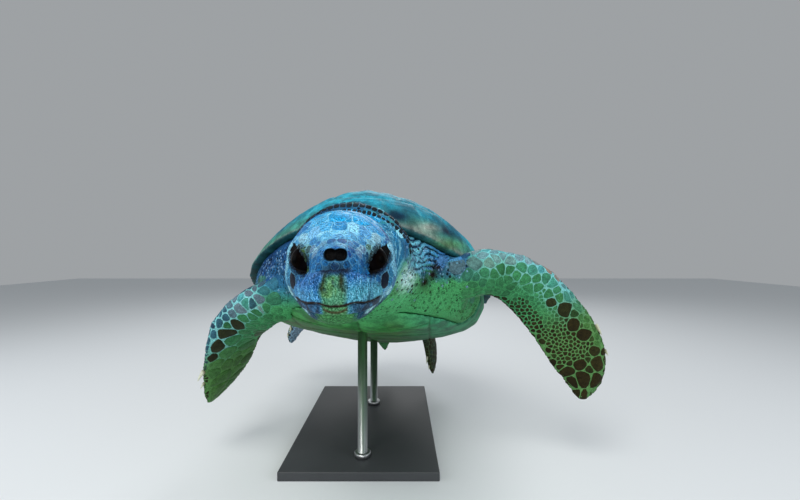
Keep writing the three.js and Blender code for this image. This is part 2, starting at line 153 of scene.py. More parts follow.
# ------------------------------------------------------------------ display stand: rods
# Two round stainless rods, turned and brushed, each set in a turned collar on the base
# and bonded into the belly.
COLLAR_HEIGHT, COLLAR_WIDTH, COLLAR_EASE = 0.012, 0.0205, 0.0015
ROD_SIDES = 40
BRUSH_WIDE, BRUSH_LONG, BRUSH_DEEP = 1.111, 40.0, 0.2

# Brushed stainless steel: lengthwise brush lines drawn a millimetre apart, so that they show.
BRUSH_SCALES = (scale_of(BRUSH_WIDE), scale_of(BRUSH_WIDE), scale_of(BRUSH_LONG))
brushed_steel, tree, shader = finish_named("brushed stainless steel", Roughness=0.32, Metallic=1.0)
place = add(tree, "ShaderNodeTexCoord").outputs["Object"]
stretch = add(tree, "ShaderNodeMapping", {}, {"Vector": place, "Scale": BRUSH_SCALES})
brush = add(tree, "ShaderNodeTexNoise", {}, {"Vector": stretch.outputs["Vector"], "Scale": 1.0})
shade = add(tree, "ShaderNodeValToRGB", {"stops": [(0.3, "a9acae"), (0.7, "c9cbcc")]},
            {"Fac": brush.outputs["Fac"]})
bump = add(tree, "ShaderNodeBump", {}, {"Height": brush.outputs["Fac"], "Strength": 0.2,
                                        "Distance": BRUSH_DEEP * MM})
tree.links.new(shade.outputs["Color"], shader.inputs["Base Color"])
tree.links.new(bump.outputs["Normal"], shader.inputs["Normal"])

for name in ("stand_rod_front", "stand_rod_rear"):
    low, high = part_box(name)
    middle, radius = (low + high) / 2, (high.x - low.x) / 2
    outline = [(radius, 0.0), (COLLAR_WIDTH, 0.0), (COLLAR_WIDTH, COLLAR_HEIGHT - COLLAR_EASE),
               (COLLAR_WIDTH - COLLAR_EASE, COLLAR_HEIGHT), (radius, COLLAR_HEIGHT),
               (radius, high.z - low.z)]
    builder = bmesh.new()
    rings = []
    for reach, rise in [(0.0, 0.0)] + outline + [(0.0, high.z - low.z)]:
        if reach == 0.0:
            rings.append([builder.verts.new((middle.x, middle.y, low.z + rise))])
            continue
        turns = [2 * math.pi * side / ROD_SIDES for side in range(ROD_SIDES)]
        rings.append([builder.verts.new((middle.x + reach * math.cos(turn),
                                         middle.y + reach * math.sin(turn), low.z + rise))
                                         for turn in turns])
    for lower, upper in zip(rings, rings[1:]):
        for side in range(ROD_SIDES):
            corners = [lower[side % len(lower)], lower[(side + 1) % len(lower)],
                       upper[(side + 1) % len(upper)], upper[side % len(upper)]]
            builder.faces.new(list(dict.fromkeys(corners)))
    bmesh.ops.remove_doubles(builder, verts=builder.verts, dist=1e-7)
    bmesh.ops.recalc_face_normals(builder, faces=builder.faces)
    rod_mesh = mesh_of(builder, name)
    for face in rod_mesh.polygons:
        face.use_smooth = abs(face.normal.z) < 0.5
    piece_of(name.replace("stand_rod", "steel_rod"), rod_mesh, brushed_steel, "stand_rod", name)

# ------------------------------------------------------------------ skin
# One unbroken hide over head, neck, shoulders, flippers and tail. It is cast in one with
# the folds of the neck, the lids, the nostrils and the mouth, and painted by region.
FLESH = ("head", "neck", "trunk", "tail", "hind_flipper_left", "hind_flipper_right",
         "front_flipper_left_arm", "front_flipper_left_blade",
         "front_flipper_right_arm", "front_flipper_right_blade")
BILL_AND_EYES = ("upper_beak", "lower_jaw", "eye_left", "eye_right")
SKIN_STEP, SKIN_ROUNDS = 0.0058, 14


def smooth(value, start, end):
    """0 before start, 1 after end, with an easy rise between."""
    share = np.clip((value - start) / (end - start), 0, 1)
    return share * share * (3 - 2 * share)


def cloud(points, size, seed=0):
    """Smooth noise from -1 to 1, with features of that size."""
    grid = points / size + 7.31 * seed
    cell = np.floor(grid).astype(int)
    part = grid - cell
    part = part * part * (3 - 2 * part)
    total = np.zeros(len(points))
    for corner in np.ndindex(2, 2, 2):
        x, y, z = (cell + np.array(corner)).T
        value = np.sin(x * 127.1 + y * 311.7 + z * 74.7 + seed) * 43758.5453
        weight = np.prod(np.where(corner, part, 1 - part), axis=1)
        total += weight * (value - np.floor(value))
    return 2 * total - 1


def middle_of(node):
    """The middle of a CAD node's box."""
    low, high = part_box(node)
    return (low + high) / 2


# The head's own axes, from its two eyes: across to its left, ahead and up, in millimetres.
EYE_AHEAD, EYE_LEVEL = 23.0, -2.0
eye_left, eye_right = middle_of("eye_left"), middle_of("eye_right")
head_across = (eye_left - eye_right).normalized()
head_ahead = head_across.cross(Vector((0, 0, 1))).normalized()
head_axes = np.array([head_across, head_ahead, Vector((0, 0, 1))])
head_middle = np.array((eye_left + eye_right) / 2) - (EYE_AHEAD * head_axes[1] + EYE_LEVEL
                                                      * head_axes[2]) * MM


def to_head(points):
    """Places on the head's own axes, in millimetres."""
    return (points - head_middle) @ head_axes.T / MM


def from_head(places):
    """Points in metres from places on the head's own axes."""
    return places * MM @ head_axes + head_middle


def corners_of(mesh):
    """The mesh's corners as an array."""
    places = np.empty(len(mesh.vertices) * 3)
    mesh.vertices.foreach_get("co", places)
    return places.reshape(-1, 3)


def normals_of(mesh):
    """The normals at the mesh's corners as an array."""
    normals = np.empty(len(mesh.vertices) * 3)
    mesh.vertices.foreach_get("normal", normals)
    return normals.reshape(-1, 3)


def set_corners(mesh, places):
    """Moves the mesh's corners to those places."""
    mesh.vertices.foreach_set("co", np.ascontiguousarray(places, dtype=np.float32).ravel())
    mesh.update()


def remeshed(builder, step, rounds):
    """The builder's solids as one closed, even mesh with its edges eased."""
    rough = mesh_of(builder, "rough")
    carrier = carried("carrier", rough)
    remesh = carrier.modifiers.new("even", "REMESH")
    remesh.mode, remesh.voxel_size = "VOXEL", step
    ease = carrier.modifiers.new("ease", "SMOOTH")
    ease.factor, ease.iterations = 0.5, rounds
    made = bpy.data.meshes.new_from_object(carrier.evaluated_get(bpy.context.evaluated_depsgraph_get()))
    bpy.data.objects.remove(carrier)
    bpy.data.meshes.remove(rough)
    return made


skin_mesh = remeshed(merged(*FLESH, *BILL_AND_EYES), SKIN_STEP, SKIN_ROUNDS)

# Lids: seen from ahead, each opening is an almond that slopes from above the cheek down to the
# snout. Its upper corner is painted black, for dark bare skin and the shade in the socket.
EYE_RADIUS = 25.2
EYE_GAZE = np.array((0.638, 0.760, 0.120))
OPENING_MIDDLE = np.array((59.5, 3.0))
OPENING_WAY = np.array((0.580, 0.815))
EYE_LONG, EYE_OPEN = 26.5, 9.4
eye_place = np.array((to_head(np.array([eye_left]))[0][0], EYE_AHEAD, EYE_LEVEL))


def eye_outline(places):
    """Each place's distance from the lids' edge, negative inside the opening, its reach from the
    middle of the eye, and its way along and across the opening."""
    side, up = np.abs(places[:, 0]) - OPENING_MIDDLE[0], places[:, 2] - OPENING_MIDDLE[1]
    along = side * OPENING_WAY[0] + up * OPENING_WAY[1]
    wide = side * OPENING_WAY[1] - up * OPENING_WAY[0]
    share = np.clip(np.abs(along) / EYE_LONG, 0, 1)
    edge = EYE_OPEN * (1 - share ** 2) ** 0.7
    outside = np.hypot(wide, np.maximum(np.abs(along) - EYE_LONG, 0))
    gap = np.where(share < 1, np.abs(wide) - edge, outside)
    reach = np.linalg.norm(np.abs(places * (1, 0, 0)) + places * (0, 1, 1) - eye_place, axis=1)
    return gap, reach, along, wide


def refine(mesh, chosen):
    """Divides once the faces whose middles are chosen."""
    builder = bmesh.new()
    builder.from_mesh(mesh)
    middles = np.array([face.calc_center_median() for face in builder.faces])
    wanted = chosen(middles)
    edges = {edge for face, take in zip(builder.faces, wanted) if take for edge in face.edges}
    bmesh.ops.subdivide_edges(builder, edges=list(edges), cuts=1, use_grid_fill=True, smooth=0.6)
    builder.to_mesh(mesh)
    builder.free()


def on_head(points):
    side, ahead, up = to_head(points).T
    return (ahead > -120) & (np.abs(side) < 110)


def on_face(points):
    places = to_head(points)
    side, ahead, up = places.T
    gap, reach = eye_outline(places)[:2]
    nose = (ahead > 78) & (np.abs(side) < 24) & (up > -8) & (up < 26)
    return nose | ((gap < 7) & (reach < 62) & (ahead > -16))


def on_neck(points):
    x, y, z = points.T
    return (np.abs(x) < 0.27) & (y > -0.455) & (y < -0.25) & (z > 0.43) & (to_head(points)[:, 1] < -120)


refine(skin_mesh, on_head)
refine(skin_mesh, on_face)
refine(skin_mesh, on_neck)

# The head before its lids and nostrils are sculpted, which the bill and eyes are fitted to.
bare_shape = bmesh.new()
bare_shape.from_mesh(skin_mesh)
bare_tree = BVHTree.FromBMesh(bare_shape)
bare_shape.free()

NOSTRIL_SIDE, NOSTRIL_LEVEL = 6.3, 9.0
NOSTRIL_WIDE, NOSTRIL_HIGH, NOSTRIL_POWER = 8.9, 8.2, 2.5
NOT_NOSTRIL = 9.0


def nostril_depth(places):
    """How near each place is to a nostril: 0 at its middle, 1 at its rim, and more outside."""
    side, ahead, up = places.T
    across = np.abs(np.abs(side) - NOSTRIL_SIDE) / NOSTRIL_WIDE
    above = np.abs(up - NOSTRIL_LEVEL) / NOSTRIL_HIGH
    return np.where(ahead > 70, across ** NOSTRIL_POWER + above ** NOSTRIL_POWER, NOT_NOSTRIL)


def mouth_level(side):
    """Height of the mouth's line: lowest under the nose, then level, and up at the corners."""
    reach = np.abs(side)
    return -56.0 + 3.4 * smooth(reach, 5, 24) - 1.6 * smooth(reach, 27, 38) + 3.6 * smooth(reach, 44, 62)


def outward(side, forward):
    """Ways out from the middle of the head to each flank, leaning forward by that much."""
    ways = np.zeros((len(side), 3))
    ways[:, 0], ways[:, 1] = np.sign(side), forward
    return ways


def sculpt_head(places):
    """Moves the places of the bare head to its finished shape, in the head's millimetres."""
    made = places.copy()
    # the valley between the eye and the snout, and the fuller temple behind the eye
    side, ahead, up = places.T
    mirrored = np.stack([np.abs(side), ahead, up], axis=1)
    valley = np.exp(-np.sum(((mirrored - (46, 66, -13)) / (9, 15, 11)) ** 2, axis=1))
    temple = np.exp(-np.sum(((mirrored - (76, -14, 18)) / (14, 20, 20)) ** 2, axis=1))
    made += outward(side, 0.7) * (-7.0 * valley + 4.0 * temple)[:, None]
    # the lids, drawn to a ball round the eye, and the socket inside them
    gap, reach = eye_outline(made)[:2]
    away = np.abs(made * (1, 0, 0)) + made * (0, 1, 1) - eye_place
    way = away / np.maximum(reach, 1)[:, None]
    lid = EYE_RADIUS + 1.4 + 2.2 * smooth(gap, 0.5, 3.5) - 1.4 * smooth(gap, 3.5, 6) + 3.0 * smooth(gap,
                                                                                                    6, 16)
    target = np.where(gap > 0.4, lid, EYE_RADIUS - 4 + 5.4 * smooth(gap, -2.2, 0.4))
    hold = (1 - smooth(gap, 6, 17)) * smooth(way @ EYE_GAZE, 0.15, 0.5) * (1 - smooth(reach, 42, 62))
    wanted = eye_place + way * target[:, None]
    wanted[:, 0] *= np.sign(places[:, 0])
    made += (wanted - made) * hold[:, None]
    sunk = (1 - smooth(gap, -3, 1)) * (1 - smooth(way @ EYE_GAZE, 0.1, 0.4)) * (ahead > -16) * (reach < 62)
    made[:, 0] -= np.sign(side) * 1.8 * sunk
    side, ahead, up = made.T
    # the nose: a soft swelling with two pits
    pit = nostril_depth(made)
    nose = np.exp(-(side / 20) ** 2 - ((up - 8) / 16) ** 2) * smooth(ahead, 70, 90)
    made[:, 1] += 2.4 * nose + 1.3 * np.exp(-((pit - 1.5) / 0.5) ** 2) * (ahead > 70)
    made[:, 1] -= 9.0 * (1 - smooth(pit, 0.15, 1.1))
    # the brow over each eye, the hollow before it and the cheek below it
    brow = np.exp(-((np.abs(side) - 60) / 13) ** 2 - ((up - 34) / 11) ** 2 - ((ahead - 14) / 26) ** 2)
    cheek = np.exp(-((np.abs(side) - 74) / 20) ** 2 - ((up + 30) / 20) ** 2 - ((ahead + 10) / 40) ** 2)
    made[:, 0] += np.sign(side) * (2.2 * brow + 3.0 * cheek)
    made[:, 2] += 2.6 * brow
    # the skin draws in where the bill's horn grips it, and along the mouth behind it
    line = np.exp(-((up - mouth_level(side)) / 2.4) ** 2) * smooth(ahead, -2, 12)
    made -= outward(side, 0.6) * (2.6 * line)[:, None]
    return made


points = corners_of(skin_mesh)
head_share = on_head(points)
places = to_head(points[head_share])
points[head_share] = from_head(sculpt_head(places))
set_corners(skin_mesh, points)

# Folds: creases round the neck that close up towards the shoulders, and slack skin at the flippers.
FOLD_PIT = (0.256, 0.524)
FOLD_TURN = 0.145
RING_STEP = 0.019


def folds(points):
    """How deep in a fold each point lies, 0 on a ridge and 1 in a crease, and where folds are."""
    x, y, z = points.T
    reach = FOLD_PIT[0] - np.abs(x)
    neck = smooth(y, -0.505, -0.480) * (1 - smooth(y, -0.40, -0.34)) * smooth(z, 0.33, 0.40)
    slack = smooth(y, -0.47, -0.43) * (1 - smooth(y, -0.25, -0.20)) * smooth(reach, 0.004, 0.02)
    turn = np.arctan2(z - FOLD_PIT[1], np.maximum(reach, 0.01))
    slack *= smooth(turn, -0.42, -0.22)
    bent = y + 0.30 * np.abs(x) + 0.016 * cloud(points, 0.07, 3)
    ring = 1 - np.abs(np.sin(bent * math.pi / RING_STEP)) ** 0.55
    turn = turn + 0.26 * cloud(points, 0.06, 3) + 0.08 * cloud(points, 0.022, 4)
    fan = 1 - np.abs(np.sin(turn * math.pi / FOLD_TURN)) ** 0.6
    fan *= 0.75 + 0.5 * cloud(points, 0.035, 8)
    slack *= 0.5 + 0.5 * smooth(x, -0.06, 0.04)
    neck = 0.5 * neck * (1 - slack)
    return np.clip(ring * neck + fan * slack, 0, 1), neck + slack


# A collar of slack skin stands round behind the crown and meets the shell's front edge.
COLLAR_MIDDLE = (0.005, 0.510)
COLLAR_REACH, COLLAR_PLACE, COLLAR_LONG = 0.121, -0.437, 0.036
points = corners_of(skin_mesh)
x, y, z = points.T
out_x, out_z = x - COLLAR_MIDDLE[0], z - COLLAR_MIDDLE[1]
reach = np.hypot(out_x, out_z)
turn = np.abs(np.arctan2(out_x, out_z))
collar = np.exp(-((y - COLLAR_PLACE) / COLLAR_LONG) ** 2) * (1 - smooth(turn, 1.15, 1.75)) * (reach > 0.05)
push = np.maximum(COLLAR_REACH - reach, 0) * collar
points[:, 0] += out_x / np.maximum(reach, 1e-6) * push
points[:, 2] += out_z / np.maximum(reach, 1e-6) * push
set_corners(skin_mesh, points)

# The hide lies a little inside, to leave the scales their thickness.
FOLD_DEEP, GRAIN_DEEP, HIDE_INSET = 0.0046, 0.0005, 0.0006
points, normals = corners_of(skin_mesh), normals_of(skin_mesh)
crease, folded = folds(points)
depth = FOLD_DEEP * (0.25 * folded - crease) + GRAIN_DEEP * cloud(points, 0.006, 5) - HIDE_INSET
points += normals * depth[:, None]
set_corners(skin_mesh, points)

# Markings: the hide's colour at any place, which its scales repeat. Cyan over the crown, blue
# on the snout and neck, green below, with pale seams between the scales of the head. Painted
# shade in the neck's creases, low on the body and round the eyes, and a painted highlight along
# the head's outline, are part of them.
CHEEK_BAND = 11


def toned(base, code, weight):
    """Colours brought towards one colour by a weight."""
    return base + (np.array(colour(code)[:3]) - base) * np.clip(weight, 0, 1)[:, None]


def near(places, centre, reach):
    """1 at the centre, fading out over the reach along each axis."""
    return np.exp(-np.sum(((places - centre) / reach) ** 2, axis=1))


def head_marking_and_painted_light(points):
    """The head's colours: crown, brow, snout, cheeks, eye surrounds and throat, with painted shade round
    the eyes and a painted highlight along the head's outline.
    """
    places = to_head(points)
    side, ahead, up = places.T
    reach = np.abs(side)
    mirrored = np.stack([reach, ahead, up], axis=1)
    tint = np.tile(np.array(colour("2a7ab6")[:3]), (len(points), 1))
    tint = toned(tint, "185e94", smooth(ahead, 40, 66) * (1 - smooth(up, 26, 44)))
    tint = toned(tint, "6cbcdf", 0.75 * smooth(up, 24, 40) * smooth(ahead, 10, 50))
    tint = toned(tint, "0688c0", smooth(up, 38, 58))
    tint = toned(tint, "2f78a0", smooth(reach, 52, 74) * (1 - smooth(up, 20, 44)))
    mottle = cloud(places, 11.0, 1) + 0.6 * cloud(places, 5.0, 2)
    tint = toned(tint, "123a7a", 0.8 * smooth(mottle, 0.15, 0.7) * (1 - smooth(up, 52, 70)))
    tint = toned(tint, "9fd6e8", 0.5 * smooth(-mottle, 0.2, 0.8) * smooth(up, 6, 30))
    tint = toned(tint, "74bede", 0.8 * near(mirrored, (52, 22, 34), (18, 22, 12)))
    tint = toned(tint, "5fa4cc", 0.8 * near(mirrored, (9, 92, 30), (12, 14, 9)))
    for spot, code in (((44, 40, 21), "48602a"), ((42, 48, 13), "2c4020"), ((51, 20, 30), "8fa8ac"),
                       ((30, 66, 15), "90a0a4"), ((31, 26, 43), "2a5fb0"), ((72, 2, 34), "2a5f96")):
        tint = toned(tint, code, 0.9 * near(mirrored, spot, (6, 14, 6)))
    tint = toned(tint, "081022", 1.6 * near(mirrored, (66, 29, -30), (11, 18, 11)))
    tint = toned(tint, "10284a", 0.8 * near(mirrored, (80, -9, 0), (6, 14, 8)))
    tint = toned(tint, "10284a", 0.8 * near(mirrored, (52, 40, -28), (8, 14, 6)))
    tint = toned(tint, "0a2a48", 1.5 * near(mirrored, (0, 104, -9), (20, 30, 9)))
    gap, distance, along, wide = eye_outline(places)
    # A dark patch round each eye: the lids' dark bare skin, with painted shade of the socket laid over it.
    by_eye = (1 - smooth(gap, 2, 12)) * smooth(ahead, -14, 0) * (1 - smooth(distance, 50, 62))
    tint = toned(tint, "0a1626", by_eye * smooth(wide, -3, 6))
    inner = (1 - smooth(gap, 5, 15)) * smooth(-wide, 0, 5) * smooth(ahead, 10,
                                                                    24) * (1 - smooth(ahead, 66, 76))
    tint = toned(tint, "1a2418", 0.92 * inner * smooth(along, -24, -12))
    tint = toned(tint, "36502a", inner * smooth(cloud(places, 7.0, 41), 0.25, 0.6))
    below = smooth(-up, 52, 66) + smooth(-up, 30, 50) * smooth(-ahead, 30, 80)
    tint = toned(tint, "3c7a48", below)
    tint = toned(tint, "16405a", smooth(-up, 56, 62) * smooth(reach, 20, 30) * (1 - smooth(-up, 76, 86)))
    # Painted highlight: a pale band down the head's outline behind each eye, and lower at the back.
    rim = near(mirrored, (84, -14, -6), (10, 9, 46)) + 0.8 * near(mirrored, (80, -60, -40), (20, 12, 26))
    tint = toned(tint, "9fdcea", 0.45 * np.clip(rim, 0, 1))
    striped = (ahead + 0.25 * up + 4 * cloud(places, 20.0, 43)) / CHEEK_BAND
    bands = smooth(np.cos(striped * 2 * math.pi), 0.55, 0.95)
    cheek = 0.7 * smooth(-ahead, 34, 60) * smooth(reach, 50, 70)
    tint = toned(tint, "266e90", cheek * smooth(up, -40, -20))
    tint = toned(tint, "8cd0e0", cheek * bands * smooth(up, -58, -40))
    jaw = np.abs(up + 64 - 0.72 * (reach - 49)) / 3.0
    tint = toned(tint, "a6dce0", 0.8 * np.exp(-jaw ** 2) * smooth(reach, 34, 44) * smooth(ahead, -70, -40))
    return tint


def body_marking_and_painted_shade(points, normals):
    """The colours of the neck and trunk, with painted shade in the creases of their folds and low on the
    body, and paler ridges.
    """
    x, y, z = points.T
    mottle = cloud(points, 0.030, 6) + 0.5 * cloud(points, 0.012, 7)
    above = smooth(z + 0.03 * mottle + 0.06 * normals[:, 2], 0.455, 0.535)
    tint = np.tile(np.array(colour("43925a")[:3]), (len(points), 1))
    tint = toned(tint, "52ac70", 0.7 * near(points, (0.10, -0.42, 0.43), (0.05, 0.06, 0.04)))
    tint = toned(tint, "2f6f98", above)
    tint = toned(tint, "3f9a8a", above * 0.6 * smooth(-mottle, 0.0, 0.8))
    tint = toned(tint, "142c54", above * (0.15 + 0.6 * smooth(mottle, -0.3, 0.6)))
    tint = toned(tint, "235a98", 0.8 * smooth(-x, 0.02, 0.10) * smooth(z, 0.40, 0.47))
    pale = near(points, (0.112, -0.434, 0.486),
                (0.020, 0.040, 0.024)) * (0.75 + 0.5 * cloud(points, 0.006, 42))
    tint = toned(tint, "c4ecea", 1.3 * pale)
    tint = toned(tint, "3a6a34", 0.5 * smooth(mottle, 0.2, 0.9) * (1 - above))
    # Painted shade: the lowest parts of the body are darker.
    tint = toned(tint, "35582f", 0.5 * smooth(-z, -0.40, -0.34))
    crease, folded = folds(points)
    slack = smooth(y, -0.46, -0.42) * smooth(z, 0.45, 0.49)
    # Painted shade: the creases of the folds are darkened, most on the upper neck and the slack skin.
    tint = toned(tint, "060d24", 0.92 * smooth(crease, 0.18, 0.62)
                 * (0.15 + 0.85 * np.maximum(above, slack)))
    ridge = smooth(folded - crease, 0.55, 0.95) * above
    tint = toned(tint, "74c8dc", 0.8 * ridge * (1 - smooth(x, 0.13, 0.19)))
    tint = toned(tint, "4a94d8", 0.8 * ridge * smooth(x, 0.13, 0.19))
    tint = toned(tint, "8ab0a8", 0.3 * near(points, (0.225, -0.310, 0.503), (0.022, 0.04, 0.016)))
    for spot in ((0.180, -0.330, 0.504), (0.168, -0.340, 0.486), (0.150, -0.366, 0.472)):
        tint = toned(tint, "1a1006", 1.1 * near(points, spot, (0.013, 0.03, 0.011)))
    return tint


# Each flipper's own course: places and chord ways from shoulder to tip, in millimetres.
COURSES = {
    "front_flipper_left": (
        (0.00, 150, -240, 440, 0.00, 0.35, -0.94), (0.14, 240, -272, 478, -0.05, 0.28, -0.95),
        (0.28, 325, -270, 488, -0.20, 0.20, -0.96), (0.44, 405, -262, 446, -0.54, 0.15, -0.82),
        (0.60, 470, -258, 374, -0.80, 0.12, -0.59), (0.75, 517, -252, 303, -0.83, 0.12, -0.54),
        (0.88, 540, -245, 240, -0.85, 0.12, -0.51), (1.00, 543, -237, 172, -0.93, 0.12, -0.34)),
    "front_flipper_right": (
        (0.00, -140, -245, 430, 0.00, 0.40, -0.92), (0.14, -190, -278, 425, 0.20, 0.45, -0.87),
        (0.28, -234, -280, 402, 0.33, 0.53, -0.78), (0.44, -286, -250, 358, 0.26, 0.72, -0.64),
        (0.60, -322, -210, 297, 0.30, 0.88, -0.36), (0.75, -350, -175, 235, 0.26, 0.90, -0.34),
        (0.88, -378, -160, 179, 0.10, 0.94, -0.34), (1.00, -404, -150, 135, -0.07, 0.91, -0.40)),
    "hind_flipper_left": (
        (0.00, 140, 235, 315, 0.10, 0.95, -0.30), (0.30, 190, 275, 248, 0.36, 0.90, -0.22),
        (0.58, 212, 275, 188, 0.50, 0.84, -0.20), (1.00, 219, 245, 76, 0.54, 0.82, -0.20)),
    "hind_flipper_right": (
        (0.00, -130, 235, 315, 0.00, 0.90, -0.40), (0.30, -214, 276, 278, 0.15, 0.88, -0.42),
        (0.58, -280, 300, 254, 0.30, 0.90, -0.25), (0.80, -312, 316, 222, 0.45, 0.86, -0.20),
        (1.00, -330, 325, 170, 0.50, 0.84, -0.20)),
}
CHORDS = {"front": ((0, 0.28, 0.44, 0.60, 0.75, 0.88, 0.96, 1.0), (118, 116, 138, 146, 146, 116, 68, 18)),
          "hind": ((0, 0.30, 0.58, 0.80, 0.94, 1.0), (100, 86, 98, 82, 46, 14))}
UNDERSIDE = {"front_flipper_left": -1, "front_flipper_right": 1, "hind_flipper_left": -1,
             "hind_flipper_right": 1}
# How far out from the middle of the body each flipper begins, in metres.
LIMB_ROOTS = {"front_flipper_left": 0.20, "front_flipper_right": 0.17, "hind_flipper_left": 0.10,
              "hind_flipper_right": 0.10}


def along_limb(limb, points):
    """Each point's share of the limb from root to tip, its place across the chord, and its side."""
    course = np.array(COURSES[limb])
    shares = np.linspace(0, 1, 121)
    path = np.stack([np.interp(shares, course[:, 0], course[:, column]) for column in range(1, 7)], axis=1)
    middles, chords = path[:, :3] * MM, path[:, 3:]
    ways = np.gradient(middles, axis=0)
    ways /= np.linalg.norm(ways, axis=1)[:, None]
    chords -= ways * np.sum(ways * chords, axis=1)[:, None]
    chords /= np.linalg.norm(chords, axis=1)[:, None]
    away = points[:, None, :] - middles[None, ::2]
    nearest = 2 * np.argmin(np.abs(np.einsum("pmk,mk->pm", away, ways[::2])) +
                            0.35 * np.linalg.norm(away, axis=2), axis=1)
    offset = points - middles[nearest]
    kind = limb.split("_")[0]
    half = np.interp(shares[nearest], *CHORDS[kind]) / 2 * MM
    across = np.sum(offset * chords[nearest], axis=1) / half
    thick = np.sum(offset * np.cross(ways, chords)[nearest], axis=1) * UNDERSIDE[limb]
    return shares[nearest], across, thick


def limb_marking(limb, points, base):
    """The colours of a flipper, which come in from the shoulder."""
    share, across, thick = along_limb(limb, points)
    mottle = cloud(points, 0.022, 8)
    blade = smooth(share, 0.10, 0.26) * (1 - smooth(np.abs(across), 1.25, 1.6))
    tint = toned(base, "3f8c5a", blade)
    tint = toned(tint, "4b7c40", blade * smooth(share, 0.46, 0.70))
    tint = toned(tint, "56acb8", 0.85 * blade * smooth(-across, 0.55, 0.9)
                 * (1 - smooth(share, 0.50, 0.64)))
    tint = toned(tint, "4a8a86", 0.7 * blade * smooth(-thick, 0.000, 0.004))
    tint = toned(tint, "2f6a3c", 0.35 * smooth(mottle, 0.1, 0.8))
    return tint


def limb_net(limb, points, tint):
    """The paler hide that shows between the scales of a limb."""
    share, across, thick = along_limb(limb, points)
    near_limb = 1 - smooth(np.abs(across), 1.25, 1.6)
    arm = smooth(share, 0.14, 0.26) * (1 - smooth(share, 0.46, 0.70)) * smooth(-across, -0.2,
                                                                               0.4) * near_limb
    tint = toned(tint, "86c8cc", (0.75 if limb == "front_flipper_right" else 0.55) * arm)
    if limb == "hind_flipper_right":
        return toned(tint, "8fb4cc", smooth(share, 0.3, 0.5) * smooth(thick, -0.003, 0.003))
    if limb == "hind_flipper_left":
        return toned(tint, "3c4c34", smooth(share, 0.3, 0.5))
    return toned(tint, "5f8a58", (0.2 if limb == "front_flipper_right" else 0.45)
                 * smooth(share, 0.46, 0.70))


def limb_of(points):
    """The limb that each point belongs to, as a number, or -1."""
    belongs = np.full(len(points), -1)
    for number, limb in enumerate(COURSES):
        nodes = [limb + "_arm", limb + "_blade"] if limb.startswith("front") else [limb]
        for node in nodes:
            low, high = (np.array(corner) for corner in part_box(node))
            inside = np.all((points > low - 0.002) & (points < high + 0.002), axis=1)
            belongs[inside & (np.abs(points[:, 0]) > LIMB_ROOTS[limb])] = number
    return belongs


def marking_and_painted_light(points, normals):
    """The animal's colour at any place, with its painted shade and highlights."""
    tint = body_marking_and_painted_shade(points, normals)
    limb_number = limb_of(points)
    for number, limb in enumerate(COURSES):
        chosen = limb_number == number
        if chosen.any():
            tint[chosen] = limb_marking(limb, points[chosen], tint[chosen])
    side, ahead, up = to_head(points).T
    to_face = smooth(ahead, -112, -84)
    chosen = to_face > 0
    if chosen.any():
        face = head_marking_and_painted_light(points[chosen])
        tint[chosen] += (face - tint[chosen]) * to_face[chosen][:, None]
    return tint


def store(mesh, name, tints):
    """Keeps a colour at each corner of the mesh."""
    layer = mesh.color_attributes.new(name, "FLOAT_COLOR", "POINT")
    full = np.concatenate([np.clip(tints, 0, 1), np.ones((len(tints), 1))], axis=1)
    layer.data.foreach_set("color", full.astype(np.float32).ravel())


def skin_tint(points, normals):
    """The hide's colours: the markings, the pale seams, and the dark of pits and lids, painted as shade in
    the nostril pits and along the lids' edges.
    """
    tint = marking_and_painted_light(points, normals)
    limb_number = limb_of(points)
    for number, limb in enumerate(COURSES):
        chosen = limb_number == number
        tint[chosen] = limb_net(limb, points[chosen], tint[chosen])
    places = to_head(points)
    side, ahead, up = places.T
    grainy = (limb_number < 0) * smooth(-ahead, 112, 124) * smooth(points[:, 2], 0.44, 0.50)
    tint = toned(tint, "0a1830", grainy * (0.15 + 0.35 * smooth(-points[:, 0], -0.05, 0.05)))
    snout = smooth(ahead, 60, 84) * (1 - smooth(up, 14, 30))
    seam = smooth(ahead, -86, -60) * smooth(up, -58, -44) * (1 - 0.7 * snout)
    gap, reach = eye_outline(places)[:2]
    by_eye = (1 - smooth(gap, 3, 12)) * smooth(ahead, -14, 0) * (1 - smooth(reach, 50, 62))
    mirrored = np.stack([np.abs(side), ahead, up], axis=1)
    darker = 1.5 * near(mirrored, (66, 29, -30), (11, 18, 11)) + near(mirrored, (0, 104, -7), (18, 30, 7))
    darker = np.clip(darker, 0, 1)
    tint = toned(tint, "86cbe2", 0.45 * seam * (1 - by_eye) * (1 - 0.9 * darker))
    # Painted shade: each nostril pit is painted near black.
    pit = nostril_depth(places)
    tint = toned(tint, "020203", 1 - smooth(pit, 0.80, 1.25))
    # Painted shade: the lids' edges round each opening are painted near black.
    socket = smooth(ahead, -16, -10) * (1 - smooth(reach, 58, 64))
    tint = toned(tint, "040405", (1 - smooth(gap, 1.2, 3.6)) * socket)
    mouth = np.exp(-((up - mouth_level(side)) / 1.6) ** 2) * smooth(ahead, -4, 8)
    tint = toned(tint, "1c0f08", mouth)
    return tint


points, normals = corners_of(skin_mesh), normals_of(skin_mesh)
store(skin_mesh, "tint", skin_tint(points, normals))

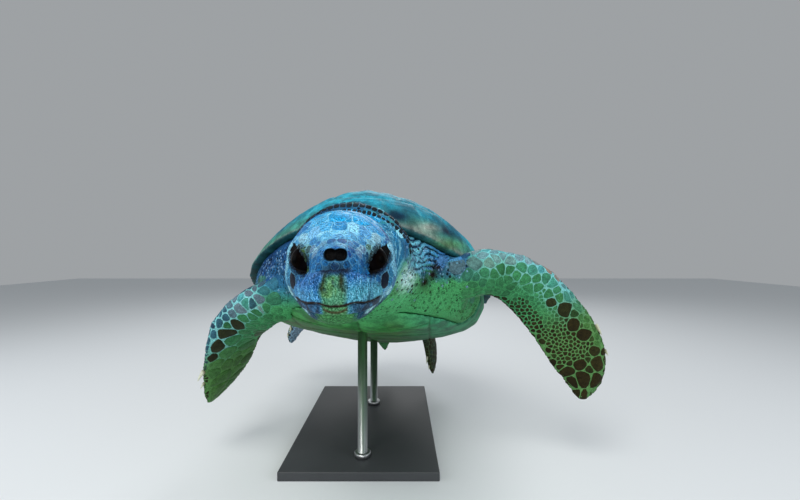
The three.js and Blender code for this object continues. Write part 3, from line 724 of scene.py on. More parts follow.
# Hide: soft reptile skin cast and painted, damp, with fine creases two or three millimetres apart.
HIDE_GRAIN, HIDE_CREASE = 2.381, 3.030
turtle_hide, tree, shader = finish_named("turtle hide", Roughness=0.55, IOR=1.42, Specular_IOR_Level=0.08)
place = add(tree, "ShaderNodeTexCoord").outputs["Object"]
tint = add(tree, "ShaderNodeAttribute", {"attribute_name": "tint"})
grain = add(tree, "ShaderNodeTexNoise", {}, {"Vector": place, "Scale": scale_of(HIDE_GRAIN), "Detail": 5.0,
                                              "Roughness": 0.65})
creases = add(tree, "ShaderNodeTexVoronoi", {"feature": "DISTANCE_TO_EDGE"},
              {"Vector": place, "Scale": scale_of(HIDE_CREASE)})
edge = add(tree, "ShaderNodeMapRange", {}, {"Value": creases.outputs["Distance"], "From Max": 0.12})
light = add(tree, "ShaderNodeMapRange", {}, {"Value": grain.outputs["Fac"], "From Min": 0.35,
                                             "From Max": 0.68,
                                            "To Min": 0.55, "To Max": 1.6})
value = add(tree, "ShaderNodeHueSaturation", {},
            {"Color": tint.outputs["Color"], "Value": light.outputs["Result"]})
bump = add(tree, "ShaderNodeBump", {}, {"Height": grain.outputs["Fac"], "Strength": 0.5,
                                        "Distance": 0.0006})
bump_two = add(tree, "ShaderNodeBump", {}, {"Height": edge.outputs["Result"], "Strength": 0.45,
                                            "Distance": 0.0006, "Normal": bump.outputs["Normal"]})
tree.links.new(value.outputs["Color"], shader.inputs["Base Color"])
tree.links.new(bump_two.outputs["Normal"], shader.inputs["Normal"])

skin_mesh.shade_smooth()
piece_of("turtle_skin", skin_mesh, turtle_hide, "skin", *FLESH)

skin_shape = bmesh.new()
skin_shape.from_mesh(skin_mesh)
bmesh.ops.triangulate(skin_shape, faces=skin_shape.faces)
skin_tree = BVHTree.FromBMesh(skin_shape)


def skin_facing(places):
    """The skin's normal nearest to each place."""
    return np.array([skin_tree.find_nearest(Vector(place))[1][:] for place in places])


# ------------------------------------------------------------------ eyes
# Two dark glass eyes, ground as one ball each with a slightly raised cornea, set in the
# lids' openings. The iris is nearly black round a black pupil.
CORNEA_RAISE, CORNEA_HALF, PUPIL_HALF = 0.9, 11.0, 5.5
EYE_FLECK = 1.111

eye_glass, tree, shader = finish_named("dark glass eye", Roughness=0.28, IOR=1.38, Specular_IOR_Level=0.02)
tint = add(tree, "ShaderNodeAttribute", {"attribute_name": "tint"})
place = add(tree, "ShaderNodeTexCoord").outputs["Object"]
fleck = add(tree, "ShaderNodeTexNoise", {}, {"Vector": place, "Scale": scale_of(EYE_FLECK), "Detail": 3.0})
light = add(tree, "ShaderNodeMapRange", {}, {"Value": fleck.outputs["Fac"], "From Min": 0.3,
                                             "From Max": 0.7,
                                            "To Min": 0.7, "To Max": 1.3})
value = add(tree, "ShaderNodeHueSaturation", {},
            {"Color": tint.outputs["Color"], "Value": light.outputs["Result"]})
tree.links.new(value.outputs["Color"], shader.inputs["Base Color"])

for name, flank in (("eye_left", 1), ("eye_right", -1)):
    builder = bmesh.new()
    bmesh.ops.create_icosphere(builder, subdivisions=5, radius=EYE_RADIUS)
    eye_mesh = mesh_of(builder, name + "_glass")
    balls = corners_of(eye_mesh)
    gaze = EYE_GAZE * (flank, 1, 1)
    height = balls @ gaze
    from_middle = np.linalg.norm(balls - height[:, None] * gaze, axis=1)
    raised = CORNEA_RAISE * (1 - smooth(from_middle, CORNEA_HALF * 0.4, CORNEA_HALF)) * (height > 0)
    tints = np.tile(np.array(colour("040203")[:3]), (len(balls), 1))
    tints = toned(tints, "060302", (1 - smooth(from_middle, CORNEA_HALF - 1.5, CORNEA_HALF)) * (height > 0))
    tints = toned(tints, "020202", (1 - smooth(from_middle, PUPIL_HALF - 0.6, PUPIL_HALF)) * (height > 0))
    balls *= ((EYE_RADIUS + raised) / EYE_RADIUS)[:, None]
    set_corners(eye_mesh, from_head(balls + eye_place * (flank, 1, 1)))
    store(eye_mesh, "tint", tints)
    eye_mesh.flip_normals()
    eye_mesh.shade_smooth()
    piece_of(name + "_glass", eye_mesh, eye_glass, "eye", name)

# ------------------------------------------------------------------ bill
# The two horn sheaths of the bill, cast in resin as on the animal: a broad upper one that
# overlaps a narrower lower one. Each is bonded over the jaw and thins out into the skin.
HORN_THICK, HORN_SUNK = 2.3, 1.6
BILL_AXIS = 18.0
BILL_TURN = math.radians(80)
BILL_COLUMNS, BILL_ROWS = 150, 46
LOWER_LEVEL, LOWER_RISE = -69.0, 9.0


def bill_top(turn):
    """Height of the upper sheath's upper edge at each turn from the middle."""
    share = np.abs(turn) / BILL_TURN
    return (-7.0 - 8.0 * smooth(share, 0.1, 0.32) - 14.0 * smooth(share, 0.3, 0.7) - 12.0
            * smooth(share, 0.75, 1)
            + 1.6 * np.sin(turn * 9.0) + 0.8 * np.sin(turn * 23.0 + 1.0))


def horn_sheath(name, node, edges_of, thick_of):
    """A sheath laid over the bare jaw between two edges, closed at the back and round its rim."""
    turns = np.linspace(-BILL_TURN, BILL_TURN, BILL_COLUMNS)
    outer, inner = [], []
    for row in range(BILL_ROWS):
        share = row / (BILL_ROWS - 1)
        for turn in turns:
            guess = 66 * math.sin(turn)
            for repeat in range(2):
                low, high = edges_of(guess, turn)
                level = low + (high - low) * share
                way = Vector((head_axes.T @ np.array((math.sin(turn), math.cos(turn), 0.0))).tolist())
                start = Vector(from_head(np.array((0.0, BILL_AXIS, level))).tolist())
                hit, normal = bare_tree.ray_cast(start, way)[:2]
                guess = to_head(np.array([hit]))[0][0]
            thick = thick_of(share, abs(turn) / BILL_TURN)
            outer.append(hit + normal * thick * MM)
            inner.append(hit - normal * HORN_SUNK * MM)
    outer, inner = np.array(outer), np.array(inner)
    faces = []

    def spot(row, column, layer):
        return layer * len(outer) + row * BILL_COLUMNS + column

    for row in range(BILL_ROWS - 1):
        for column in range(BILL_COLUMNS - 1):
            quad = [(row, column), (row, column + 1), (row + 1, column + 1), (row + 1, column)]
            faces.append([spot(*corner, 0) for corner in quad])
            faces.append([spot(*corner, 1) for corner in reversed(quad)])
    rim = [(0, column) for column in range(BILL_COLUMNS)]
    rim += [(row, BILL_COLUMNS - 1) for row in range(1, BILL_ROWS)]
    rim += [(BILL_ROWS - 1, column) for column in range(BILL_COLUMNS - 2, -1, -1)]
    rim += [(row, 0) for row in range(BILL_ROWS - 2, 0, -1)]
    for here, there in zip(rim, rim[1:] + rim[:1]):
        faces.append([spot(*there, 0), spot(*here, 0), spot(*here, 1), spot(*there, 1)])
    sheath = bpy.data.meshes.new(name)
    everything = np.concatenate([outer, inner])
    sheath.from_pydata(everything.tolist(), [], faces)
    builder = bmesh.new()
    builder.from_mesh(sheath)
    bmesh.ops.recalc_face_normals(builder, faces=builder.faces)
    builder.to_mesh(sheath)
    builder.free()
    store(sheath, "tint", bill_tint(everything))
    sheath.shade_smooth()
    return piece_of(name, sheath, bill_horn, "beak", node)


def bill_tint(points):
    """Streaked blue horn, with a green stripe down the middle between two brown lines."""
    places = to_head(points)
    side, ahead, up = places.T
    streak = cloud(np.stack([side / 2.2, up / 16, ahead / 8], axis=1), 1.0, 11)
    fine = cloud(np.stack([side / 0.9, up / 9, ahead / 4], axis=1), 1.0, 12)
    blotch = cloud(places, 7.0, 13)
    tint = np.tile(np.array(colour("1660a0")[:3]), (len(points), 1))
    tint = toned(tint, "3d8ea4", smooth(-up, 16, 40) * smooth(side, -30, 30))
    tint = toned(tint, "2a7fae", smooth(-up, 26, 50) * smooth(-side, -10, 30))
    tint = toned(tint, "12426e", 0.6 * smooth(streak + 0.4 * fine, 0.0, 0.8))
    tint = toned(tint, "6cc0e0", 0.4 * smooth(-streak + 0.5 * fine, 0.25, 0.9))
    tint = toned(tint, "1a4254", 0.6 * smooth(blotch, 0.2, 0.8))
    wander = side + 2.5 + 2.5 * cloud(places, 9.0, 14) + 0.8 * fine
    half = 14.0 + 2.5 * smooth(-up, 10, 40)
    tint = toned(tint, "3c7a56", 0.95 * smooth(half + 3 - np.abs(wander), 0, 8) * smooth(-up, 10, 20))
    inside = (np.abs(wander) < half * 0.8) * smooth(-up, 8, 18)
    tint = toned(tint, "4f7c38", 0.5 * smooth(streak + blotch, 0.0, 0.9) * inside)
    margin = np.exp(-((np.abs(wander) - half + 4.0) / 4.0) ** 2) * smooth(-up, 8,
                                                                          16) * (1 - smooth(-up, 32, 48))
    tint = toned(tint, "1e240e", 1.1 * margin * (0.75 + 0.25 * streak))
    tint = toned(tint, "081c34", 1.0 * (1 - smooth(-up, 11, 20)) * (1 - smooth(np.abs(side), 14, 26)))
    tint = toned(tint, "143050", 0.6 * smooth(cloud(places, 4.0, 15), 0.2, 0.7) * (1 - smooth(-up, 24, 44)))
    lower = up < mouth_level(side) - 1.5
    low_tint = toned(tint, "3f7f50", 1 - smooth(np.abs(side), 12, 20))
    low_tint = toned(low_tint, "123c60", smooth(np.abs(side), 15, 23) * (0.8 + 0.2 * streak))
    low_tint = toned(low_tint, "081628", 0.8 * smooth(np.abs(side), 19, 25) * smooth(blotch, -0.3, 0.4))
    crescent = np.exp(-((up + 65 - 0.020 * side ** 2) / 2.4) ** 2) * (np.abs(side) < 16)
    low_tint = toned(low_tint, "3a2812", 0.9 * crescent)
    tint = np.where(lower[:, None], low_tint, tint)
    gape = 2.0 + 0.8 * cloud(places, 6.0, 16)
    mouth = np.exp(-((up - mouth_level(side)) / gape) ** 2) * (1 - smooth(np.abs(side), 56, 64))
    tint = toned(tint, "1c0c04", 1.2 * mouth)
    return tint


# Horn: layered keratin, worn smooth and satin, with growth streaks half a millimetre deep.
STREAKS = (scale_of(1.111), scale_of(3.333), scale_of(9.091))
HORN_GRAIN = 2.326
bill_horn, tree, shader = finish_named("bill horn", Roughness=0.42, IOR=1.5, Specular_IOR_Level=0.1)
place = add(tree, "ShaderNodeTexCoord").outputs["Object"]
tint = add(tree, "ShaderNodeAttribute", {"attribute_name": "tint"})
stretch = add(tree, "ShaderNodeMapping", {}, {"Vector": place, "Scale": STREAKS})
streaks = add(tree, "ShaderNodeTexNoise", {}, {"Vector": stretch.outputs["Vector"], "Scale": 1.0,
                                               "Detail": 4.0})
light = add(tree, "ShaderNodeMapRange", {}, {"Value": streaks.outputs["Fac"], "From Min": 0.3,
                                             "From Max": 0.7,
                                            "To Min": 0.6, "To Max": 1.4})
value = add(tree, "ShaderNodeHueSaturation", {},
            {"Color": tint.outputs["Color"], "Value": light.outputs["Result"]})
grain = add(tree, "ShaderNodeTexNoise", {}, {"Vector": place, "Scale": scale_of(HORN_GRAIN), "Detail": 3.0,
                                              "Roughness": 0.75})
pale = add(tree, "ShaderNodeMapRange", {}, {"Value": grain.outputs["Fac"], "From Min": 0.52,
                                            "From Max": 0.62,
                                           "To Max": 0.75})
bright = add(tree, "ShaderNodeHueSaturation", {},
             {"Color": tint.outputs["Color"], "Saturation": 0.8, "Value": 2.4})
sunk = add(tree, "ShaderNodeValToRGB", {"stops": [(0.38, "6c6c6c"), (0.48, "ffffff")]},
           {"Fac": grain.outputs["Fac"]})
worn = add(tree, "ShaderNodeMix", {"data_type": "RGBA", "blend_type": "MULTIPLY"},
           {0: 0.9, 6: value.outputs["Color"], 7: sunk.outputs["Color"]})
flecked = add(tree, "ShaderNodeMix", {"data_type": "RGBA"},
              {0: pale.outputs["Result"], 6: worn.outputs[2], 7: bright.outputs["Color"]})
bump = add(tree, "ShaderNodeBump", {}, {"Height": streaks.outputs["Fac"], "Strength": 0.4,
                                        "Distance": 0.0005})
tree.links.new(flecked.outputs[2], shader.inputs["Base Color"])
tree.links.new(bump.outputs["Normal"], shader.inputs["Normal"])


def upper_edges(side, turn):
    """Lower and upper edge of the upper sheath."""
    return float(mouth_level(np.array(side))) - 0.6, float(bill_top(np.array(turn)))


def upper_thickness(share, reach):
    """Thins out at the top and back, with a lip along the mouth."""
    lip = 0.9 * max(0, 1 - share * 9) * min(1, (1 - reach) * 6)
    return HORN_THICK * min(1, (1 - share) * 5, (1 - reach) * 6) - 0.5 + lip


def lower_edges(side, turn):
    """Lower and upper edge of the lower sheath."""
    return LOWER_LEVEL + LOWER_RISE * (abs(turn) / BILL_TURN) ** 2, float(mouth_level(np.array(side))) - 2.2


def lower_thickness(share, reach):
    """Thinner than the upper one, and thins out at the bottom and back."""
    return (HORN_THICK - 0.9) * min(1, share * 5, (1 - reach) * 5) - 0.5


horn_sheath("upper_bill", "upper_beak", upper_edges, upper_thickness)
horn_sheath("lower_bill", "lower_jaw", lower_edges, lower_thickness)

# ------------------------------------------------------------------ scales of the head
# Thin horn plates bedded side by side on the hide: a few large symmetrical ones over the
# crown and brow, smaller ones on the cheeks and snout, and fine grains round the eyes.

NEIGHBOURS = 44
LEAST_RADIUS = 0.8
UNWRAP_REACH = 0.04
LATTICE = 0.012


def search_tree(points):
    """A tree that finds the nearest of the points."""
    tree = KDTree(len(points))
    for number, point in enumerate(points):
        tree.insert(point, number)
    tree.balance()
    return tree


def cut_back(shape, x, y, limit):
    """What is left of an outline within the limit along the way x, y."""
    kept = []
    for (ax, ay), (bx, by) in zip(shape, shape[1:] + shape[:1]):
        a, b = ax * x + ay * y - limit, bx * x + by * y - limit
        if a <= 0:
            kept.append((ax, ay))
        if (a < 0) != (b < 0):
            share = a / (a - b)
            kept.append((ax + (bx - ax) * share, ay + (by - ay) * share))
    return kept


def eased(shape, rounds, least):
    """An outline with its corners cut that many times, and no two points nearer than the least."""
    for repeat in range(rounds):
        shape = [spot for (ax, ay), (bx, by) in zip(shape, shape[1:] + shape[:1])
                 for spot in ((0.75 * ax + 0.25 * bx, 0.75 * ay + 0.25 * by),
                              (0.25 * ax + 0.75 * bx, 0.25 * ay + 0.75 * by))]
    kept = [shape[0]]
    for spot in shape[1:]:
        if math.dist(spot, kept[-1]) > least:
            kept.append(spot)
    if math.dist(kept[0], kept[-1]) < least:
        kept.pop()
    return kept


def plates(seeds, normals, sizes, heights, gap, body_tints, edge_tints, surface, stretch=None, rounds=1,
           start=1.22, rings=((0.0, -0.7), (0.1, 0.55), (0.75, 1.0), (0.55, 1.12)), random_seed=5):
    """Flat-topped plates that fill the room between their neighbours.

    Each starts as a ring round its seed, is cut back half way to each neighbour by their
    sizes less the gap, and is raised from the surface in rings. Lengths are in millimetres."""
    draw = random.Random(random_seed)
    tree = search_tree(seeds)
    corners, faces, tints, roots = [], [], [], []
    for number, seed in enumerate(seeds):
        size = sizes[number]
        seed, normal = Vector(seed), Vector(normals[number])
        along = Vector(stretch[number][:3]) if stretch is not None else Vector((0.31, 0.27, 0.91))
        along = (along - normal * along.dot(normal)).normalized()
        across = normal.cross(along)
        longer = stretch[number][3] if stretch is not None else 1.0
        sides = 14 if size > 7 else 10
        turned = draw.uniform(0, 1)
        shape = []
        for side in range(sides):
            turn = 2 * math.pi * (side + turned) / sides
            shape.append((start * size * longer * math.cos(turn), start * size * math.sin(turn)))
        for place, other, distance in tree.find_n(seed, NEIGHBOURS):
            if other == number or Vector(normals[other]).dot(normal) < -0.2:
                continue
            away = (Vector(place) - seed) / MM
            x, y = away.dot(along), away.dot(across)
            reach = math.hypot(x, y)
            if reach < 1e-3 or abs(away.dot(normal)) > reach:
                continue
            x, y = x / reach, y / reach
            limit = away.length * size / (size + sizes[other]) - gap / 2
            shape = cut_back(shape, x, y, limit)
            if len(shape) < 3:
                break
        if len(shape) < 3:
            continue
        shape = eased(shape, rounds, size * 0.12)
        count = len(shape)
        if count < 3:
            continue
        middle_x = sum(spot[0] for spot in shape) / count
        middle_y = sum(spot[1] for spot in shape) / count
        radius = sum(math.hypot(x - middle_x, y - middle_y) for x, y in shape) / count
        if radius < LEAST_RADIUS:
            continue
        height = heights[number]
        first = len(corners)
        for ring, (inset, raised) in enumerate(rings):
            inward = min(inset, 0.35 * radius) / radius if ring < len(rings) - 1 else inset
            for x, y in shape:
                x = x + (middle_x - x) * inward
                y = y + (middle_y - y) * inward
                spot = seed + (along * x + across * y) * MM
                hit, face_normal, face, distance = surface.find_nearest(spot)
                if face_normal.dot(normal) < 0.2:
                    face_normal = (face_normal + normal).normalized() * 0.5
                corners.append(hit + face_normal * (height * raised) * MM)
                tints.append(edge_tints[number] if ring < 2 else body_tints[number])
                roots.append(number)
        corners.append(seed + (along * middle_x + across * middle_y) * MM)
        hit, face_normal, face, distance = surface.find_nearest(corners[-1])
        upward = face_normal if face_normal.dot(normal) > 0.2 else normal
        corners[-1] = hit + upward * height * rings[-1][1] * MM
        tints.append(body_tints[number])
        roots.append(number)
        top = len(corners) - 1
        for ring in range(len(rings) - 1):
            low, high = first + ring * count, first + (ring + 1) * count
            for side in range(count):
                after = (side + 1) % count
                faces.append((low + side, low + after, high + after, high + side))
        last = first + (len(rings) - 1) * count
        for side in range(count):
            faces.append((last + side, last + (side + 1) % count, top))
        faces.append(tuple(first + side for side in reversed(range(count))))
    return np.array(corners), faces, np.array(tints), np.array(roots)


def store_unwrap(mesh, places):
    """Keeps the unwrap that is baked on, from a place for each corner."""
    layer = mesh.uv_layers.get("OFBake") or mesh.uv_layers.new(name="OFBake")
    loops = np.empty(len(mesh.loops), dtype=np.int32)
    mesh.loops.foreach_get("vertex_index", loops)
    layer.data.foreach_set("uv", places[loops].astype(np.float32).ravel())


def coat_piece(name, made, unwrap, material, slot="skin", seeds=None):
    """Joins the plates as one piece, with its colours and its unwrap by each plate's root."""
    corners, faces, tints, roots = made
    mesh = bpy.data.meshes.new(name)
    mesh.from_pydata(corners.tolist(), [], faces)
    store(mesh, "tint", tints)
    root_places, places = unwrap(seeds[roots]), unwrap(corners)
    offset = places - root_places
    offset[:, 0] -= np.round(offset[:, 0])
    places = np.clip(root_places + np.clip(offset, -UNWRAP_REACH, UNWRAP_REACH), 0, 1)
    store_unwrap(mesh, places)
    for face in mesh.polygons:
        face.use_smooth = len(face.vertices) < 5
    return piece_of(name, mesh, material, slot)


def scattered(points, normals, size_of, placed, placed_sizes, spacing, tries, random_seed):
    """Seeds thrown at random over the given surface points, no nearer than their sizes allow."""
    draw = np.random.default_rng(random_seed)
    order = draw.permutation(len(points))[:tries]
    wanted = size_of(points[order], normals[order])
    seeds, sizes, lattice = list(placed), list(placed_sizes), {}

    def note(number):
        key = tuple(int(math.floor(axis / LATTICE)) for axis in seeds[number])
        lattice.setdefault(key, []).append(number)

    for number in range(len(seeds)):
        note(number)
    largest = max([*placed_sizes, float(np.nanmax(wanted))])
    for spot, size in zip(order, wanted):
        if not size > 0:
            continue
        point = points[spot]
        reach = int(math.ceil(spacing * (size + largest) * MM / LATTICE))
        cell = [int(math.floor(axis / LATTICE)) for axis in point]
        around = itertools.product(*(range(axis - reach, axis + reach + 1) for axis in cell))
        others = (other for key in around for other in lattice.get(key, ()))
        room = ((seeds[other] - point, spacing * (size + sizes[other]) * MM) for other in others)
        if all(away @ away >= least ** 2 for away, least in room):
            seeds.append(point)
            sizes.append(size)
            note(len(seeds) - 1)
    return np.array(seeds), np.array(sizes)


# Named plates, on the animal's left: side, ahead, up and half width in millimetres. Those
# off the middle are repeated on the right.
HEAD_PLATES = (
    (0, 97, 24, 6.0), (9, 92, 31, 7.5), (11, 80, 44, 9.5), (27, 78, 34, 8.5), (24, 86, 20, 7.0),
    (0, 66, 56, 9.0), (25, 62, 52, 11.0), (44, 52, 40, 8.5), (42, 62, 22, 7.0), (33, 76, 12, 7.0),
    (0, 42, 66, 14.0), (46, 34, 52, 13.0), (27, 38, 64, 12.0), (62, 22, 40, 10.0),
    (0, 6, 80, 22.0), (38, 4, 73, 17.0), (62, -8, 54, 14.0), (18, -38, 84, 19.0), (52, -38, 72, 18.0),
    (0, -78, 84, 18.0), (34, -82, 80, 16.0), (66, -76, 60, 15.0), (78, -34, 44, 14.0),
    (82, -12, 18, 13.0), (88, -44, 12, 15.0), (80, -76, 28, 14.0), (84, -10, -14, 12.0),
    (88, -46, -24, 14.0), (84, -4, -34, 9.0), (66, 29, -30, 13.0), (80, -20, -46, 12.0),
    (73, 16, -8, 6.0),
)
crown, sizes_of_crown = [], []
for side, ahead, up, size in HEAD_PLATES:
    for flank in ((1,) if side == 0 else (1, -1)):
        spot = Vector(from_head(np.array((side * flank, ahead, up))).tolist())
        hit, normal, face, distance = skin_tree.find_nearest(spot)
        crown.append(np.array(hit))
        sizes_of_crown.append(size)


def bill_cover(places):
    """How far inside the bill's horn a place is, in millimetres."""
    side, ahead, up = places.T
    turn = np.arctan2(side, np.maximum(ahead - BILL_AXIS, 0.1))
    top = bill_top(np.clip(turn, -BILL_TURN, BILL_TURN))
    share = np.abs(turn) / BILL_TURN
    low = LOWER_LEVEL + LOWER_RISE * share ** 2
    inside = np.minimum(top - up, up - low)
    return np.where((share < 0.97) & (ahead > BILL_AXIS), inside, -20.0)


def head_size(points, normals):
    """The size of the plate wanted at each place on the head, or none."""
    places = to_head(points)
    side, ahead, up = places.T
    reach = np.abs(side)
    gap, distance = eye_outline(places)[:2]
    size = np.where(ahead > 30, 6.0, 8.0)
    size = np.where((ahead > 78) & (up > -6), 5.0, size)
    size = np.where(up < -56, 3.0, size)
    size = np.where((ahead < -40) & (up < -30), 6.0, size)
    by_eye = (distance < 64) & (ahead > -18)
    size = np.where(by_eye & (gap < 9), 2.3, size)
    bad = (by_eye & (gap < 1.6)) | (nostril_depth(places) < 1.7) | (bill_cover(places) > -1.0)
    bad |= (ahead < -112) | ((ahead < -66) & (reach > 70) & (up < 40))
    bad |= (np.abs(up - mouth_level(side)) < 2.6) & (ahead > 0)
    return np.where(bad, np.nan, size)


surface_points = np.array([np.mean([corner.co for corner in face.verts], axis=0)
                           for face in skin_shape.faces])
surface_normals = np.array([face.normal[:] for face in skin_shape.faces])
headward = on_head(surface_points)
seeds, sizes = scattered(surface_points[headward], surface_normals[headward], head_size,
                         crown, sizes_of_crown, 0.86, 60000, 21)
seed_normals = skin_facing(seeds)
body = head_marking_and_painted_light(seeds)
jitter = np.random.default_rng(3).normal(1, 0.09, (len(seeds), 1))
body = np.clip(body * jitter, 0, 1)
gap = eye_outline(to_head(seeds))[0]
edge = toned(body, "8fd0e4", 0.22 * smooth(gap, 8, 16))
dark_under = smooth(-to_head(seeds)[:, 2], 50, 60)
edge = edge + (body * 0.7 - edge) * dark_under[:, None]
made = plates(seeds, seed_normals, sizes, 0.32 + 0.022 * sizes, 0.6, body, edge, skin_tree)


def head_unwrap(points):
    """A place on the unwrap for each point: its turn round the head and its dip from the nose."""
    side, ahead, up = to_head(points).T
    turn = np.arctan2(side, up) / (2 * math.pi) + 0.5
    dip = np.arctan2(np.hypot(side, up), ahead + 20) / math.pi
    return np.stack([turn, dip], axis=1)


# Scale horn: thin keratin plates, semi-matt, speckled paler and darker every two millimetres.
SCALE_GRAIN, SCALE_PATCH = 1.923, 9.091
scale_horn, tree, shader = finish_named("scale horn", Roughness=0.5, IOR=1.45, Specular_IOR_Level=0.1)
place = add(tree, "ShaderNodeTexCoord").outputs["Object"]
tint = add(tree, "ShaderNodeAttribute", {"attribute_name": "tint"})
grain = add(tree, "ShaderNodeTexNoise", {}, {"Vector": place, "Scale": scale_of(SCALE_GRAIN), "Detail": 4.0,
                                              "Roughness": 0.7})
patches = add(tree, "ShaderNodeTexNoise", {}, {"Vector": place, "Scale": scale_of(SCALE_PATCH),
                                               "Detail": 3.0})
speckle = add(tree, "ShaderNodeValToRGB", {"stops": [(0.40, "3d3d3d"), (0.50, "bcbcbc"), (0.64, "ffffff")]},
              {"Fac": grain.outputs["Fac"]})
light = add(tree, "ShaderNodeMapRange", {}, {"Value": patches.outputs["Fac"], "From Min": 0.3,
                                             "From Max": 0.7,
                                            "To Min": 0.75, "To Max": 1.35})
value = add(tree, "ShaderNodeHueSaturation", {},
            {"Color": tint.outputs["Color"], "Value": light.outputs["Result"]})
mixed = add(tree, "ShaderNodeMix", {"data_type": "RGBA", "blend_type": "MULTIPLY"},
            {0: 0.65, 6: value.outputs["Color"], 7: speckle.outputs["Color"]})
bump = add(tree, "ShaderNodeBump", {}, {"Height": grain.outputs["Fac"], "Strength": 0.45,
                                        "Distance": 0.0005})
tree.links.new(mixed.outputs[2], shader.inputs["Base Color"])
tree.links.new(bump.outputs["Normal"], shader.inputs["Normal"])

# Crown horn: the same keratin on the head, rubbed and flecked pale and dark every two millimetres.
CROWN_GRAIN, CROWN_PATCH, CROWN_SWELL, GROWTH_LINE = 2.326, 13.33, 38.46, 10.5
crown_horn, tree, shader = finish_named("crown horn", Roughness=0.45, IOR=1.45, Specular_IOR_Level=0.1)
place = add(tree, "ShaderNodeTexCoord").outputs["Object"]
tint = add(tree, "ShaderNodeAttribute", {"attribute_name": "tint"})
grain = add(tree, "ShaderNodeTexNoise", {}, {"Vector": place, "Scale": scale_of(CROWN_GRAIN), "Detail": 3.0,
                                              "Roughness": 0.75})
drift = add(tree, "ShaderNodeTexNoise", {}, {"Vector": place, "Scale": scale_of(CROWN_PATCH),
                                             "Detail": 4.0})
dark = add(tree, "ShaderNodeValToRGB", {"stops": [(0.38, "3c4650"), (0.48, "ffffff")]},
           {"Fac": grain.outputs["Fac"]})
mixed = add(tree, "ShaderNodeMix", {"data_type": "RGBA", "blend_type": "MULTIPLY"},
            {0: 0.85, 6: tint.outputs["Color"], 7: dark.outputs["Color"]})
pale = add(tree, "ShaderNodeMapRange", {}, {"Value": grain.outputs["Fac"], "From Min": 0.52,
                                            "From Max": 0.62,
                                           "To Max": 0.8})
where = add(tree, "ShaderNodeMapRange", {}, {"Value": drift.outputs["Fac"], "From Min": 0.36,
                                             "From Max": 0.56})
amount = add(tree, "ShaderNodeMath", {"operation": "MULTIPLY"},
             {0: pale.outputs["Result"], 1: where.outputs["Result"]})
bright = add(tree, "ShaderNodeHueSaturation", {},
             {"Color": tint.outputs["Color"], "Saturation": 1.0, "Value": 2.2})
flecked = add(tree, "ShaderNodeMix", {"data_type": "RGBA"},
              {0: amount.outputs[0], 6: mixed.outputs[2], 7: bright.outputs["Color"]})
# growth lines, as pale ripples about the nose that break up here and there
nose = tuple(from_head(np.array((0.0, 100.0, 6.0))).tolist())
swell = add(tree, "ShaderNodeTexNoise", {}, {"Vector": place, "Scale": scale_of(CROWN_SWELL),
                                             "Detail": 3.0})
spread = add(tree, "ShaderNodeVectorMath", {"operation": "DISTANCE"}, {0: place, 1: nose})
bent = add(tree, "ShaderNodeMath", {"operation": "MULTIPLY_ADD"},
           {0: swell.outputs["Fac"], 1: 0.075, 2: spread.outputs["Value"]})
phase = add(tree, "ShaderNodeMath", {"operation": "MULTIPLY"},
            {0: bent.outputs[0], 1: 2 * math.pi * scale_of(GROWTH_LINE)})
wave = add(tree, "ShaderNodeMath", {"operation": "SINE"}, {0: phase.outputs[0]})
line = add(tree, "ShaderNodeMapRange", {},
           {"Value": wave.outputs[0], "From Min": 0.82, "From Max": 0.99, "To Max": 0.65})
height = add(tree, "ShaderNodeSeparateXYZ", {}, {"Vector": place})
high = add(tree, "ShaderNodeMapRange", {}, {"Value": height.outputs["Z"], "From Min": 0.520,
                                            "From Max": 0.548})
some = add(tree, "ShaderNodeMath", {"operation": "MULTIPLY"},
           {0: line.outputs["Result"], 1: where.outputs["Result"]})
kept = add(tree, "ShaderNodeMath", {"operation": "MULTIPLY"},
           {0: some.outputs[0], 1: high.outputs["Result"]})
lined = add(tree, "ShaderNodeMix", {"data_type": "RGBA"},
            {0: kept.outputs[0], 6: flecked.outputs[2], 7: colour("9ee0f6")})
bump = add(tree, "ShaderNodeBump", {}, {"Height": grain.outputs["Fac"], "Strength": 0.5,
                                        "Distance": 0.0006})
tree.links.new(lined.outputs[2], shader.inputs["Base Color"])
tree.links.new(bump.outputs["Normal"], shader.inputs["Normal"])

coat_piece("head_scales", made, head_unwrap, crown_horn, seeds=seeds)

# ------------------------------------------------------------------ scales of the flippers
# Horn plates bedded on the flippers: long ones in two rows along the leading edge, a row
# along the trailing edge, big ones at the tip and small ones between, with green skin in
# the gaps. They are near black and brown on the blade, and fade out towards the arm.
FLIPPER_GAP = 2.1
THROWS = 26000


def thrown(chosen, count, random_seed):
    """Random points spread evenly over the chosen faces of the skin, with their normals."""
    draw = np.random.default_rng(random_seed)
    faces = [face for face, take in zip(skin_shape.faces, chosen) if take]
    areas = np.array([face.calc_area() for face in faces])
    picked = draw.choice(len(faces), count, p=areas / areas.sum())
    shares = draw.random((count, 2))
    shares = np.where(shares.sum(axis=1)[:, None] > 1, 1 - shares, shares)
    corners = np.array([[corner.co[:] for corner in face.verts] for face in faces])[picked]
    edges = corners[:, 1:] - corners[:, :1]
    points = corners[:, 0] + shares[:, :1] * edges[:, 0] + shares[:, 1:] * edges[:, 1]
    return points, np.array([face.normal[:] for face in faces])[picked]


